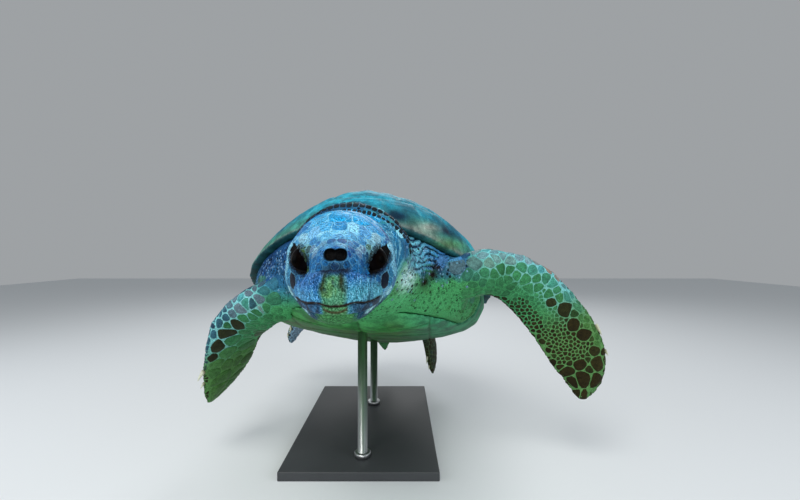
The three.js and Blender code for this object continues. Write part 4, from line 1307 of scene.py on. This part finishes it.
def limb_spot(limb, share, across, side):
    """The skin's point and normal at a share of the limb, a place across it and a side."""
    course = np.array(COURSES[limb])
    row, before, after = (np.array([np.interp(place, course[:, 0], column) for column in course.T[1:]])
                          for place in (share, max(share - 0.02, 0), min(share + 0.02, 1)))
    step = after[:3] - before[:3]
    way = step / np.linalg.norm(step)
    chord = row[3:] - way * (way @ row[3:])
    chord /= np.linalg.norm(chord)
    half = np.interp(share, *CHORDS[limb.split("_")[0]]) / 2
    normal = np.cross(way, chord) * UNDERSIDE[limb] * side
    start = (row[:3] + chord * half * across) * MM
    hit, face_normal = skin_tree.ray_cast(Vector(start + normal * 0.05), Vector(-normal), 0.1)[:2]
    if hit is None:
        hit, face_normal = skin_tree.find_nearest(Vector(start))[:2]
    return np.array(hit), np.array(face_normal), way


limb_numbers = limb_of(surface_points)
# Rows of named plates: share at start and end, step, place across at start and end, half
# width, how much longer than wide, and whether dark, blue-grey, rosy or like the hide.
FLIPPER_ROWS = {
    "front_flipper_left": (
        (0.12, 0.97, 0.040, -0.98, -0.96, 12.0, 1.2, "rosy"),
        (0.14, 0.46, 0.052, -0.66, -0.66, 13.5, 1.1, ""),
        (0.52, 0.97, 0.062, -0.27, -0.76, 17.0, 1.2, "dark"),
        (0.16, 0.50, 0.055, -0.28, -0.30, 12.5, 1.1, ""),
        (0.50, 0.74, 0.048, -0.64, -0.98, 11.0, 1.2, ""),
        (0.29, 0.97, 0.042, 0.92, 0.90, 10.0, 1.5, "dark"),
        (0.82, 0.99, 0.075, 0.05, -0.05, 17.0, 1.2, "dark"),
        (0.84, 0.99, 0.075, 0.58, 0.50, 15.0, 1.2, "dark")),
    "front_flipper_right": (
        (0.17, 0.97, 0.038, -0.97, -1.00, 10.5, 1.2, "blue"),
        (0.20, 0.50, 0.046, -0.58, -0.88, 11.0, 1.3, "blue"),
        (0.38, 0.66, 0.075, -0.30, -0.86, 15.0, 1.2, "dark"),
        (0.34, 0.97, 0.034, 0.96, 0.96, 8.5, 1.3, "dark"),
        (0.20, 0.30, 0.050, -0.25, -0.30, 12.0, 1.1, "rosy"),
        (0.50, 0.95, 0.085, -0.20, -0.30, 20.0, 1.3, "")),
    "hind_flipper_left": ((0.30, 0.96, 0.080, -0.92, -0.92, 10.0, 1.2, "dark"),
                          (0.40, 0.94, 0.090, 0.90, 0.90, 9.0, 1.2, "dark")),
    "hind_flipper_right": ((0.30, 0.96, 0.080, -0.92, -0.92, 10.0, 1.2, "blue"),
                           (0.40, 0.94, 0.090, 0.90, 0.90, 9.0, 1.2, "blue")),
}


def limb_size(limb):
    """What says the size of the plate wanted at each place on that flipper, or none."""
    def size_of(points, normals):
        share, across, thick = along_limb(limb, points)
        size = 4.4 + 7.5 * smooth(share, 0.76, 0.88) + 3.5 * smooth(np.abs(across - 0.1), 0.5, 0.85)
        size = np.where((share < 0.46) | ((share < 0.62) & (across < -0.3)), 11.0, size)
        size = np.where((share > 0.36) & (share < 0.60) & (across > 0.15), 5.0, size)
        if limb == "front_flipper_right":
            size = np.where(share < 0.42, 11.0, 16.0)
        if limb.startswith("hind"):
            size = np.where(share > 0.17, 8.0, np.nan)
        bare = (share < 0.10) | ((np.abs(across) > 1.45) & (share < 0.35))
        return np.where(bare, np.nan, size * (1 + 0.18 * cloud(points, 0.02, 51)))
    return size_of


def limb_unwrap(limb):
    """What unwraps that flipper: along it and across it, one half for each side."""
    def unwrap(points):
        share, across, thick = along_limb(limb, points)
        half = np.where(thick > 0, 0.25, 0.75)
        return np.stack([half + 0.22 * np.clip(across, -1.1, 1.1), 0.02 + 0.96 * share], axis=1)
    return unwrap


def blade_tints(limb, seeds, kinds, random_seed):
    """Colours of each plate's top and edge: how dark by its place, then by the row it stands in."""
    share, across, thick = along_limb(limb, seeds)
    base = marking_and_painted_light(seeds, np.zeros_like(seeds))
    draw = np.random.default_rng(random_seed)
    back = smooth(-thick, -0.001, 0.003)
    if limb == "front_flipper_left":
        dark = np.maximum(smooth(share, 0.54, 0.64) * smooth(across, -0.75, -0.45),
                          smooth(across, 0.2, 0.45) * smooth(share, 0.36, 0.44))
        dark = np.maximum(dark, 0.9 * smooth(across, 0.45, 0.75) * smooth(share, 0.26, 0.33))
        dark = np.maximum(dark, smooth(share, 0.74, 0.80))
    elif limb == "front_flipper_right":
        dark = 0.9 * smooth(across, 0.40, 0.80) * smooth(share, 0.3, 0.4)
        dark = np.maximum(dark, 0.25 * smooth(share, 0.72, 0.9))
    else:
        dark = smooth(share, 0.15, 0.35)
    dark = np.maximum(dark, 0.9 * back * smooth(share, 0.16, 0.3))
    dark = np.clip(dark + draw.normal(0, 0.10, len(seeds)) * (dark > 0.05), 0, 1)
    front = 1 - back
    dark = np.where(kinds == "dark", np.maximum(dark, 0.95), dark)
    dark = np.where(kinds == "", dark * smooth(dark, 0.1, 0.6), dark)
    body = toned(base, "2c1c08", 0.95 * dark) * draw.normal(1, 0.12, (len(seeds), 1)).clip(0.6, 1.4)
    blue = (kinds == "blue") * (1 - smooth(share, 0.60, 0.75))
    body = toned(body, "30506c", 0.8 * blue)
    if limb == "hind_flipper_right":
        body = toned(body, "7f9cb4", 0.9 * smooth(share, 0.3, 0.5) * smooth(thick, -0.003, 0.003))
    body = toned(body, "241a0c", 0.85 * (kinds == "blue") * smooth(share, 0.60, 0.75))
    rosy = (kinds == "rosy") * front * smooth(share, 0.10, 0.18) * (1 - smooth(share, 0.44, 0.56))
    greyed = smooth(-across, 0.45, 0.65) * smooth(share, 0.14, 0.22) * (1 - smooth(share, 0.30, 0.38))
    rosy = np.maximum(rosy, 0.8 * front * greyed)
    body = toned(body, "96a8b4", 0.55 * rosy * (draw.random(len(seeds)) > 0.25))
    body = toned(body, "a8704c", 0.65 * (kinds == "rosy") * np.exp(-((share - 0.44) / 0.05) ** 2))
    return np.clip(body, 0, 1), np.clip(body * 0.9, 0, 1)


for number, limb in enumerate(COURSES):
    draw = random.Random(90 + number)
    rows, row_sizes, row_ways, kinds = [], [], [], []
    for start, end, step, first, last, size, longer, kind in FLIPPER_ROWS[limb]:
        for side in (1, -1):
            share = start + (0.5 * step if side < 0 else 0)
            while share < end:
                taper = 1 - 0.25 * max(0, (share - 0.90) / 0.10)
                across = first + (last - first) * (share - start) / (end - start) + draw.uniform(-0.05,
                                                                                                 0.05)
                across = max(min(across, 1), -1) * (1 - 0.04 * (side < 0))
                spot, normal, way = limb_spot(limb, share, across, side)
                rows.append(spot)
                row_sizes.append(size * taper * draw.uniform(0.85, 1.12))
                row_ways.append((*way, longer))
                kinds.append(kind)
                share += step * draw.uniform(0.85, 1.15)
    points, normals = thrown(limb_numbers == number, THROWS, 60 + number)
    seeds, sizes = scattered(points, normals, limb_size(limb), rows, row_sizes, 0.84, THROWS, 70 + number)
    seed_normals = skin_facing(seeds)
    stretch = row_ways + [(0.3, 0.3, 0.9, 1.0)] * (len(seeds) - len(rows))
    kinds = np.array(kinds + [""] * (len(seeds) - len(rows)))
    body, edge = blade_tints(limb, seeds, kinds, 80 + number)
    made = plates(seeds, seed_normals, sizes, 0.45 + 0.03 * sizes, FLIPPER_GAP, body, edge, skin_tree,
                  stretch=stretch, start=1.6)
    coat_piece(limb + "_scales", made, limb_unwrap(limb), scale_horn, seeds=seeds)

# ------------------------------------------------------------------ scales of the neck and shoulders
# Three rows of dark rounded plates lie behind the crown. Beyond them the hide carries small
# low grains, thousands of them, set close on the folds and thinning out over the throat.
NAPE_ROWS = ((-0.434, 6.6, 0.046), (-0.452, 6.0, 0.042), (-0.468, 4.8, 0.036))
GRAIN_WIDE, GRAIN_SPACING, GRAIN_CORNERS = 0.0060, 0.0053, 12
NAPE_CLEAR, SHELL_CLEAR = 0.0085, 0.012

nape, nape_sizes = [], []
neck_middle = middle_of("neck")
for y, size, step in NAPE_ROWS:
    turn = -1.25
    while turn < 1.45:
        start = Vector((neck_middle.x + 0.004, y + 0.010 * turn ** 2, 0.515))
        nape.append(np.array(skin_tree.ray_cast(start, Vector((math.sin(turn), 0.0, math.cos(turn))))[0]))
        nape_sizes.append(size * (1 + 0.18 * math.sin(7 * turn + y * 900)))
        turn += step * 2.6
nape_seeds = np.array(nape)
nape_normals = skin_facing(nape_seeds)
body = np.tile(np.array(colour("1d2a34")[:3]), (len(nape), 1))
body = body * np.random.default_rng(4).normal(1, 0.3, (len(nape), 1)).clip(0.4, 1.8)
made = plates(nape_seeds, nape_normals, nape_sizes, [0.9] * len(nape), 1.6, body, body * 0.8, skin_tree,
              rounds=2)


def body_unwrap(points):
    """A place on the unwrap for each point: its turn round the neck and its way back."""
    x, y, z = (points - np.array(neck_middle)).T
    turn = np.arctan2(x, z + 0.08) / (2 * math.pi) + 0.5
    return np.stack([turn, 0.1 + 0.8 * np.clip((y + 0.15) / 0.75, 0, 1)], axis=1)


coat_piece("nape_scales", made, body_unwrap, scale_horn, seeds=nape_seeds)

# The grains are scattered by a node tree over the hide, one low dome on each point.
points, normals = corners_of(skin_mesh), normals_of(skin_mesh)
limb_number = limb_of(points)
side, ahead, up = to_head(points).T
room = smooth(-ahead, 108, 116)
for number, limb in enumerate(COURSES):
    chosen = limb_number == number
    if chosen.any():
        share = along_limb(limb, points[chosen])[0]
        room[chosen] *= 1 - smooth(share, 0.08, 0.11)
nape_tree = search_tree(nape_seeds)
room *= np.array([nape_tree.find(point)[2] > NAPE_CLEAR for point in points])
shell_trees = [BVHTree.FromObject(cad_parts[node], bpy.context.evaluated_depsgraph_get())
               for node in ("carapace", "plastron")]
room *= np.array([min(shape.find_nearest(Vector(point))[3] for shape in shell_trees) > SHELL_CLEAR
                  for point in points])
x, y, z = points.T
room *= 0.35 + 0.65 * smooth(z, 0.42, 0.50)
layer = skin_mesh.attributes.new("grain_room", "FLOAT", "POINT")
layer.data.foreach_set("value", room.astype(np.float32))

grain_tree = bpy.data.node_groups.new("grains over the hide", "GeometryNodeTree")
grain_tree.interface.new_socket("Hide", in_out="INPUT", socket_type="NodeSocketGeometry")
for socket, kind in (("Spacing", "NodeSocketFloat"), ("Grain width", "NodeSocketFloat"),
                     ("Seed", "NodeSocketInt"), ("Horn", "NodeSocketMaterial")):
    grain_tree.interface.new_socket(socket, in_out="INPUT", socket_type=kind)
grain_tree.interface.new_socket("Grains", in_out="OUTPUT", socket_type="NodeSocketGeometry")
given = add(grain_tree, "NodeGroupInput").outputs
room_named = add(grain_tree, "GeometryNodeInputNamedAttribute", {"data_type": "FLOAT"},
                 {"Name": "grain_room"})
spread = add(grain_tree, "GeometryNodeDistributePointsOnFaces", {"distribute_method": "POISSON"},
             {"Mesh": given["Hide"], "Distance Min": given["Spacing"], "Density Max": 60000.0,
              "Density Factor": room_named.outputs["Attribute"], "Seed": given["Seed"]})
dome = add(grain_tree, "GeometryNodeMeshIcoSphere", {}, {"Radius": 0.5, "Subdivisions": 1})
low_dome = add(grain_tree, "GeometryNodeTransform", {},
               {"Geometry": dome.outputs["Mesh"], "Scale": (1.0, 1.15, 0.30)})
vary = add(grain_tree, "FunctionNodeRandomValue", {"data_type": "FLOAT"},
           {2: 0.75, 3: 1.25, "Seed": given["Seed"]})
wide = add(grain_tree, "ShaderNodeMath", {"operation": "MULTIPLY"},
           {0: vary.outputs[1], 1: given["Grain width"]})
laid = add(grain_tree, "GeometryNodeInstanceOnPoints", {},
           {"Points": spread.outputs["Points"], "Instance": low_dome.outputs["Geometry"],
            "Rotation": spread.outputs["Rotation"], "Scale": wide.outputs[0]})
real = add(grain_tree, "GeometryNodeRealizeInstances", {}, {"Geometry": laid.outputs["Instances"]})
dressed = add(grain_tree, "GeometryNodeSetMaterial", {},
              {"Geometry": real.outputs["Geometry"], "Material": given["Horn"]})
add(grain_tree, "NodeGroupOutput", {}, {"Grains": dressed.outputs["Geometry"]})

carrier = carried("grain_carrier", skin_mesh.copy())
scatter = carrier.modifiers.new("grains", "NODES")
scatter.node_group = grain_tree
inputs = {item.name: item.identifier for item in grain_tree.interface.items_tree if item.in_out == "INPUT"}
for socket, value in (("Spacing", GRAIN_SPACING), ("Grain width", GRAIN_WIDE), ("Seed", 9),
                      ("Horn", scale_horn)):
    scatter[inputs[socket]] = value
grain_mesh = bpy.data.meshes.new_from_object(carrier.evaluated_get(bpy.context.evaluated_depsgraph_get()))
bpy.data.objects.remove(carrier)
grain_mesh.name = "neck_grains"
corners = corners_of(grain_mesh)
roots = corners.reshape(-1, GRAIN_CORNERS, 3).mean(axis=1)
tints = marking_and_painted_light(roots, skin_facing(roots))
draw = np.random.default_rng(12)
high = smooth(roots[:, 2], 0.42, 0.50)
left = high * smooth(-roots[:, 0], 0.04, 0.10)
uneven = draw.normal(0, 1, len(tints)) * (0.15 + 0.35 * high + 0.15 * left)
tints = np.clip(tints * (0.9 + 0.3 * high + uneven).clip(0.15, 2)[:, None], 0, 1)
chance = draw.random(len(tints))
tints[chance < 0.03 + 0.20 * high + 0.12 * left] *= 0.28
tints = toned(tints, "8cb8dc", (0.5 + 0.15 * left) * (chance > 1 - 0.30 * high - 0.10 * left))
for name in [layer.name for layer in grain_mesh.attributes if layer.name in ("tint", "grain_room")]:
    grain_mesh.attributes.remove(grain_mesh.attributes[name])
store(grain_mesh, "tint", np.repeat(tints, GRAIN_CORNERS, axis=0))
turns = np.linspace(0, 2 * math.pi, GRAIN_CORNERS, False)
spots = body_unwrap(roots)[:, None, :] + 0.0015 * np.stack([np.cos(turns), np.sin(turns)], axis=1)
store_unwrap(grain_mesh, spots.reshape(-1, 2))
grain_mesh.shade_smooth()
piece_of("neck_grains", grain_mesh, scale_horn, "skin")
skin_mesh.attributes.remove(skin_mesh.attributes["grain_room"])

# ------------------------------------------------------------------ upper shell
# The carapace: a bony dome under large horn scutes, five down the middle, five pairs
# beside them and a rim of twelve pairs behind a small one at the nape. Cast in one with
# its seams sunk between the scutes, and painted teal with faint paler rays, with painted
# shade on its underside and in dark blue patches over its front.
SHELL_STEP = 0.0042
SHELL_LENGTH, SHELL_HALF = 850.0, 348.0
SHELL_TILT, SHELL_ROLL, SHELL_TURN = math.radians(17), math.radians(3), math.radians(2)
SHELL_MIDDLE = np.array((0.016, 0.0, 0.440))
RIM_BAND = 66.0
SEAM_WIDE, SEAM_DEEP = 3.0, 2.8


def turning(axis, angle):
    """A turn about one axis."""
    c, s = math.cos(angle), math.sin(angle)
    return {"x": np.array(((1, 0, 0), (0, c, -s), (0, s, c))),
            "y": np.array(((c, 0, s), (0, 1, 0), (-s, 0, c))),
            "z": np.array(((c, -s, 0), (s, c, 0), (0, 0, 1)))}[axis]


shell_axes = turning("z", -SHELL_TURN) @ turning("y", SHELL_ROLL) @ turning("x", -SHELL_TILT)


def to_shell(points):
    """Across, along towards the tail, and up from the shell's middle, in millimetres."""
    return (points - SHELL_MIDDLE) @ shell_axes / MM


def half_width(share):
    """Half the shell's width at each share of its length."""
    share = np.clip(share, 0.0005, 0.9995)
    return SHELL_HALF * np.sin(math.pi * share ** 0.92) ** 0.65


rim_shares = (1 - np.cos(np.linspace(0, math.pi, 400))) / 2
rim_line = np.stack([half_width(rim_shares), (rim_shares - 0.5) * SHELL_LENGTH], axis=1)
rim_steps = np.concatenate([[0], np.cumsum(np.linalg.norm(np.diff(rim_line, axis=0), axis=1))])
rim_tree = search_tree([(x, y, 0) for x, y in rim_line])

CROSS_SEAMS = (-232.0, -92.0, 62.0, 208.0, 322.0)
SIDE_SEAMS = (-290.0, -160.0, -16.0, 136.0, 266.0)
RIM_PLATES = 12


def scute_map(places):
    """Distance to the nearest seam, the scute's number, the distance to the rim line, and the middle row's
    half width.
    """
    across, along, up = places.T
    reach = np.abs(across)
    rim_gap, rim_place = np.empty(len(places)), np.empty(len(places))
    for number, (x, y) in enumerate(zip(reach, along)):
        spot, nearest, gap = rim_tree.find((x, y, 0))
        rim_gap[number], rim_place[number] = gap, rim_steps[nearest]
    whole = rim_steps[-1]
    band = RIM_BAND - 16 * smooth(-along, 250, 400)
    # the middle row: six-sided, widest where the side seams meet it
    knots = np.array([-430, -290, -232, -160, -92, -16, 62, 136, 208, 266, 322, 430])
    widths = np.array([70, 78, 58, 86, 60, 88, 58, 80, 50, 66, 40, 30])
    middle_half = np.interp(along, knots, widths)
    wobble = 2.2 * cloud(places / 60, 1.0, 31)
    in_rim = rim_gap < band
    in_middle = (reach < middle_half) & ~in_rim
    seams = [np.abs(rim_gap - band + wobble)]
    rim_number = np.clip((rim_place / whole - 0.045) / 0.955 * RIM_PLATES, -0.5, RIM_PLATES - 0.01)
    nearest_cut = np.abs(rim_number - np.round(np.clip(rim_number, 0,
                                                       RIM_PLATES))) * whole * 0.955 / RIM_PLATES
    seams.append(np.where(in_rim, nearest_cut, 99))
    seams.append(np.where(in_rim, 99, np.abs(reach - middle_half + wobble)))
    cuts = np.min([np.abs(along - seam - 0.05 * reach + wobble) for seam in CROSS_SEAMS], axis=0)
    seams.append(np.where(in_middle, cuts, 99))
    slope = 0.10 * (reach - middle_half)
    cuts = np.min([np.abs(along - seam - slope + wobble) for seam in SIDE_SEAMS], axis=0)
    seams.append(np.where(~in_middle & ~in_rim, cuts, 99))
    number = np.where(in_rim, 20 + np.floor(rim_number + 1), np.where(
        in_middle, np.sum([along > seam for seam in CROSS_SEAMS], axis=0),
        8 + np.sum([along - slope > seam for seam in SIDE_SEAMS], axis=0)))
    number = number * 2 + ((across > 0) & ~in_middle)
    return np.min(seams, axis=0), number.astype(int), rim_gap, middle_half


carapace_mesh = remeshed(merged("carapace"), SHELL_STEP, 10)
points, normals = corners_of(carapace_mesh), normals_of(carapace_mesh)
places = to_shell(points)
facing = (normals @ shell_axes)[:, 2]
on_top = smooth(facing, -0.05, 0.25)
seam_gap, scute, rim_gap, middle_half = scute_map(places)
across, along, up = places.T
rise = -SEAM_DEEP * np.exp(-(seam_gap / SEAM_WIDE) ** 2) + 1.5 * smooth(seam_gap, 2, 26) - 0.8
rise += 0.28 * np.sin(seam_gap * 2 * math.pi / 9.0) * smooth(-seam_gap, -42, -10) * smooth(seam_gap, 4, 9)
keel = np.exp(-(across / 13) ** 2) * (0.5 + 0.5
                                      * np.cos((along + 20) * 2 * math.pi / 146)) * (rim_gap > RIM_BAND)
rise += 3.0 * keel
rise += 0.45 * cloud(places, 26.0, 33) + 0.25 * cloud(places, 8.0, 34)
points += normals * (rise * on_top * MM)[:, None]
points += normals * (0.3 * cloud(places, 14.0, 35) * (1 - on_top) * MM)[:, None]
set_corners(carapace_mesh, points)

shade = cloud(places, 70.0, 36) + 0.5 * cloud(places, 26.0, 37)
tints = np.tile(np.array(colour("1f8ca6")[:3]), (len(points), 1))
tints = toned(tints, "35aec0", 0.8 * smooth(shade, 0.0, 0.8))
tints = toned(tints, "174c70", 0.8 * smooth(-shade, 0.1, 0.9))
rays = np.sin(np.arctan2(along - 40 * np.round(along / 140), np.abs(across) - 120) * 46 + 3 * shade)
tints = toned(tints, "67c2cc", 0.16 * smooth(rays, 0.5, 1.0) * smooth(seam_gap, 3, 14))
by_scute = np.random.default_rng(11).normal(1, 0.10, 200)
tints = np.clip(tints * by_scute[scute % 200][:, None], 0, 1)
tints = toned(tints, "7fcfd6", 0.38 * np.exp(-(seam_gap / 3.4) ** 2) * on_top)
tints = toned(tints, "4a8f6c", 0.70 * smooth(-rim_gap, -26, -6) * on_top)
# Painted shade: the faces of the shell that turn down are darkened.
tints = toned(tints, "1c4a48", 0.85 * (1 - on_top))
tints = toned(tints, "9a9080", 0.5 * np.exp(-((facing - 0.12) / 0.16) ** 2) * smooth(-rim_gap, -8, -2))
# The first three are painted shade, dark blue patches over the front of the shell; then a pale band, a
# green patch at the rim and a teal wash over the top.
for spot, reach, code, weight in (
        ((0.089, -0.363, 0.613), (0.045, 0.06, 0.020), "0e2440", 1.1),
        ((0.207, -0.285, 0.583), (0.034, 0.06, 0.016), "123048", 1.0),
        ((-0.055, -0.40, 0.615), (0.040, 0.06, 0.009), "0e2440", 1.0),
        ((0.159, -0.334, 0.590), (0.028, 0.05, 0.010), "b4aca4", 0.6),
        ((0.210, -0.300, 0.553), (0.055, 0.06, 0.012), "5a9450", 0.6),
        ((0.0, -0.30, 0.665), (0.14, 0.12, 0.05), "1c9cba", 0.5)):
    tints = toned(tints, code, weight * near(points, spot, reach))
store(carapace_mesh, "tint", tints)

# Scute horn: thick keratin, weathered and satin, with fine growth lines and a dull bloom.
SCUTE_GRAIN, SCUTE_BLOOM = 3.846, 29.41
scute_horn, tree, shader = finish_named("scute horn", Roughness=0.5, IOR=1.45, Specular_IOR_Level=0.15)
place = add(tree, "ShaderNodeTexCoord").outputs["Object"]
tint = add(tree, "ShaderNodeAttribute", {"attribute_name": "tint"})
grain = add(tree, "ShaderNodeTexNoise", {}, {"Vector": place, "Scale": scale_of(SCUTE_GRAIN), "Detail": 6.0,
                                              "Roughness": 0.7})
bloom = add(tree, "ShaderNodeTexNoise", {}, {"Vector": place, "Scale": scale_of(SCUTE_BLOOM), "Detail": 5.0,
                                              "Roughness": 0.6})
light = add(tree, "ShaderNodeMapRange", {}, {"Value": grain.outputs["Fac"], "From Min": 0.3,
                                             "From Max": 0.7,
                                            "To Min": 0.65, "To Max": 1.35})
value = add(tree, "ShaderNodeHueSaturation", {},
            {"Color": tint.outputs["Color"], "Value": light.outputs["Result"]})
dull = add(tree, "ShaderNodeValToRGB", {"stops": [(0.42, "5c6e74"), (0.6, "ffffff")]},
           {"Fac": bloom.outputs["Fac"]})
mixed = add(tree, "ShaderNodeMix", {"data_type": "RGBA", "blend_type": "MULTIPLY"},
            {0: 0.6, 6: value.outputs["Color"], 7: dull.outputs["Color"]})
rough = add(tree, "ShaderNodeMapRange", {}, {"Value": bloom.outputs["Fac"], "To Min": 0.45, "To Max": 0.7})
bump = add(tree, "ShaderNodeBump", {}, {"Height": grain.outputs["Fac"], "Strength": 0.5,
                                        "Distance": 0.0006})
tree.links.new(mixed.outputs[2], shader.inputs["Base Color"])
tree.links.new(rough.outputs["Result"], shader.inputs["Roughness"])
tree.links.new(bump.outputs["Normal"], shader.inputs["Normal"])
carapace_mesh.shade_smooth()
piece_of("upper_shell", carapace_mesh, scute_horn, "carapace", "carapace")

# ------------------------------------------------------------------ lower shell
# The plastron: flat horn scutes in six pairs along a middle seam, with a column of three
# over each bridge to the upper shell. Smooth and green, paler at the front with painted light and
# darker towards the tail with painted shade.
BELLY_CUTS = (-318.0, -232.0, -96.0, 52.0, 186.0)
BRIDGE_LINE = 178.0
BRIDGE_CUTS = (-78.0, 8.0, 92.0)

plastron_mesh = remeshed(merged("plastron"), SHELL_STEP, 8)
points, normals = corners_of(plastron_mesh), normals_of(plastron_mesh)
places = to_shell(points)
across, along, up = places.T
facing = (normals @ shell_axes)[:, 2]
under = 1 - smooth(facing, -0.2, 0.3)
wobble = 2.5 * cloud(places / 70, 1.0, 41)
seam_gap = np.minimum(np.abs(across + wobble), np.abs(np.abs(across) - BRIDGE_LINE - 0.06 * along + wobble))
inner = np.abs(across) < BRIDGE_LINE + 0.06 * along
cuts = np.min([np.abs(along - cut + 0.12 * np.abs(across) + wobble) for cut in BELLY_CUTS], axis=0)
side_cuts = np.min([np.abs(along - cut + wobble) for cut in BRIDGE_CUTS], axis=0)
seam_gap = np.minimum(seam_gap, np.where(inner, cuts, side_cuts))
rise = -2.2 * np.exp(-(seam_gap / 2.8) ** 2) + 1.0 * smooth(seam_gap, 2, 24) - 0.5
rise += 0.5 * cloud(places, 40.0, 42) + 0.2 * cloud(places, 10.0, 43)
points += normals * (rise * under * MM)[:, None]
set_corners(plastron_mesh, points)
shade = cloud(places, 60.0, 44) + 0.5 * cloud(places, 22.0, 45)
tints = np.tile(np.array(colour("3a8440")[:3]), (len(points), 1))
tints = toned(tints, "4a9058", 0.6 * smooth(shade, 0.0, 0.9))
tints = toned(tints, "4a5f28", 0.6 * smooth(-shade, 0.1, 0.9))
# Painted light: paler where the belly's faces turn from the bottom, and paler again at its front, like the
# chest.
tints = toned(tints, "428c54", 0.8 * smooth(facing, -0.75, -0.3))
tints = toned(tints, "43925a", 0.9 * (1 - smooth(along, -330, -230)))
tints = toned(tints, "3f9a7c", 0.6 * smooth(across, 60, 200))
# Painted light brightens the front once more; painted shade then darkens the belly towards the tail.
tints *= 1 + 0.4 * (1 - smooth(along, -320, -200))[:, None]
tints = toned(tints, "2c5228", 0.5 * smooth(along, -300, 160))
tints = toned(tints, "1f3a1c", 0.6 * np.exp(-(seam_gap / 2.6) ** 2) * under)
store(plastron_mesh, "tint", tints)
plastron_mesh.shade_smooth()

# Belly horn: the same keratin as above, as a copy of the scute horn.
belly_horn = scute_horn.copy()
belly_horn.name = "belly horn"
piece_of("lower_shell", plastron_mesh, belly_horn, "plastron", "plastron")

# ------------------------------------------------------------------ claws
# Two short hooked claws on the leading edge of each flipper: pale solid horn,
# cast, polished, and darker at the root.
CLAW_STEP, CLAW_GRAIN = 0.0009, 1.25

claw_horn, tree, shader = finish_named("claw horn", Roughness=0.3, IOR=1.54)
place = add(tree, "ShaderNodeTexCoord").outputs["Object"]
tint = add(tree, "ShaderNodeAttribute", {"attribute_name": "tint"})
grain = add(tree, "ShaderNodeTexNoise", {}, {"Vector": place, "Scale": scale_of(CLAW_GRAIN), "Detail": 3.0})
light = add(tree, "ShaderNodeMapRange", {}, {"Value": grain.outputs["Fac"], "From Min": 0.3,
                                             "From Max": 0.7,
                                            "To Min": 0.75, "To Max": 1.2})
value = add(tree, "ShaderNodeHueSaturation", {},
            {"Color": tint.outputs["Color"], "Value": light.outputs["Result"]})
bump = add(tree, "ShaderNodeBump", {}, {"Height": grain.outputs["Fac"], "Strength": 0.3,
                                        "Distance": 0.0003})
tree.links.new(value.outputs["Color"], shader.inputs["Base Color"])
tree.links.new(bump.outputs["Normal"], shader.inputs["Normal"])
for node in sorted(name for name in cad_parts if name.startswith("claw_")):
    claw_mesh = remeshed(merged(node), CLAW_STEP, 5)
    points = corners_of(claw_mesh)
    skin_gap = np.array([skin_tree.find_nearest(Vector(point))[3] for point in points])
    tints = np.tile(np.array(colour("cdd2b8")[:3]), (len(points), 1))
    tints = toned(tints, "6a6a48", 1 - smooth(skin_gap, 0.001, 0.007))
    store(claw_mesh, "tint", tints)
    claw_mesh.shade_smooth()
    piece_of(node + "_horn", claw_mesh, claw_horn, "claw", node)

# ------------------------------------------------------------------ floor, lights and camera
# A pale seamless sweep under soft box lights. The camera stands low before the head.
FLOOR_HALF = 6.0
builder = bmesh.new()
bmesh.ops.create_grid(builder, x_segments=8, y_segments=8, size=FLOOR_HALF)
floor_mesh = mesh_of(builder, "studio_floor")
floor = carried("studio_floor", floor_mesh)
pale_floor, tree, shader = finish_named("pale matt floor", Roughness=0.75, Base_Color=colour("d9dde0"))
floor_mesh.materials.append(pale_floor)

SOFT_BOXES = (
    ((-0.5, -1.9, 2.6), (0.05, -0.25, 0.45), 1.6, 56.0, "fffdf8"),
    ((2.2, -1.5, 1.6), (0.15, -0.1, 0.4), 1.5, 20.0, "f4f9ff"),
    ((-2.4, -0.6, 1.5), (-0.1, -0.1, 0.4), 1.5, 16.0, "f4f9ff"),
    ((0.3, 2.4, 2.2), (0.0, 0.1, 0.5), 1.6, 28.0, "ffffff"),
    ((0.1, -1.5, 0.12), (0.05, -0.3, 0.4), 0.9, 4.0, "ffffff"),
)
for number, (place, target, size, power, tone) in enumerate(SOFT_BOXES):
    box_light = bpy.data.lights.new(f"soft_box_{number}", "AREA")
    box_light.shape, box_light.size, box_light.energy = "SQUARE", size, power
    box_light.color = colour(tone)[:3]
    lamp = carried(f"soft_box_{number}", box_light)
    lamp.location = place
    lamp.rotation_euler = (Vector(target) - Vector(place)).to_track_quat("-Z", "Y").to_euler()

world = bpy.data.worlds.new("studio air")
bpy.context.scene.world = world
world.use_nodes = True
world.node_tree.nodes["Background"].inputs["Color"].default_value = colour("e9eef2")
world.node_tree.nodes["Background"].inputs["Strength"].default_value = 0.42

CAMERA_PLACE = (0.097, -1.160, 0.540)
lens = bpy.data.cameras.new("camera")
lens.lens, lens.sensor_width = 17.0, 36.0
lens.clip_start = 0.02
camera = carried("camera", lens)
camera.location = CAMERA_PLACE
camera.rotation_euler = (math.pi / 2, 0.0, 0.0)
bpy.context.scene.camera = camera
bpy.context.scene.view_settings.view_transform = "Standard"
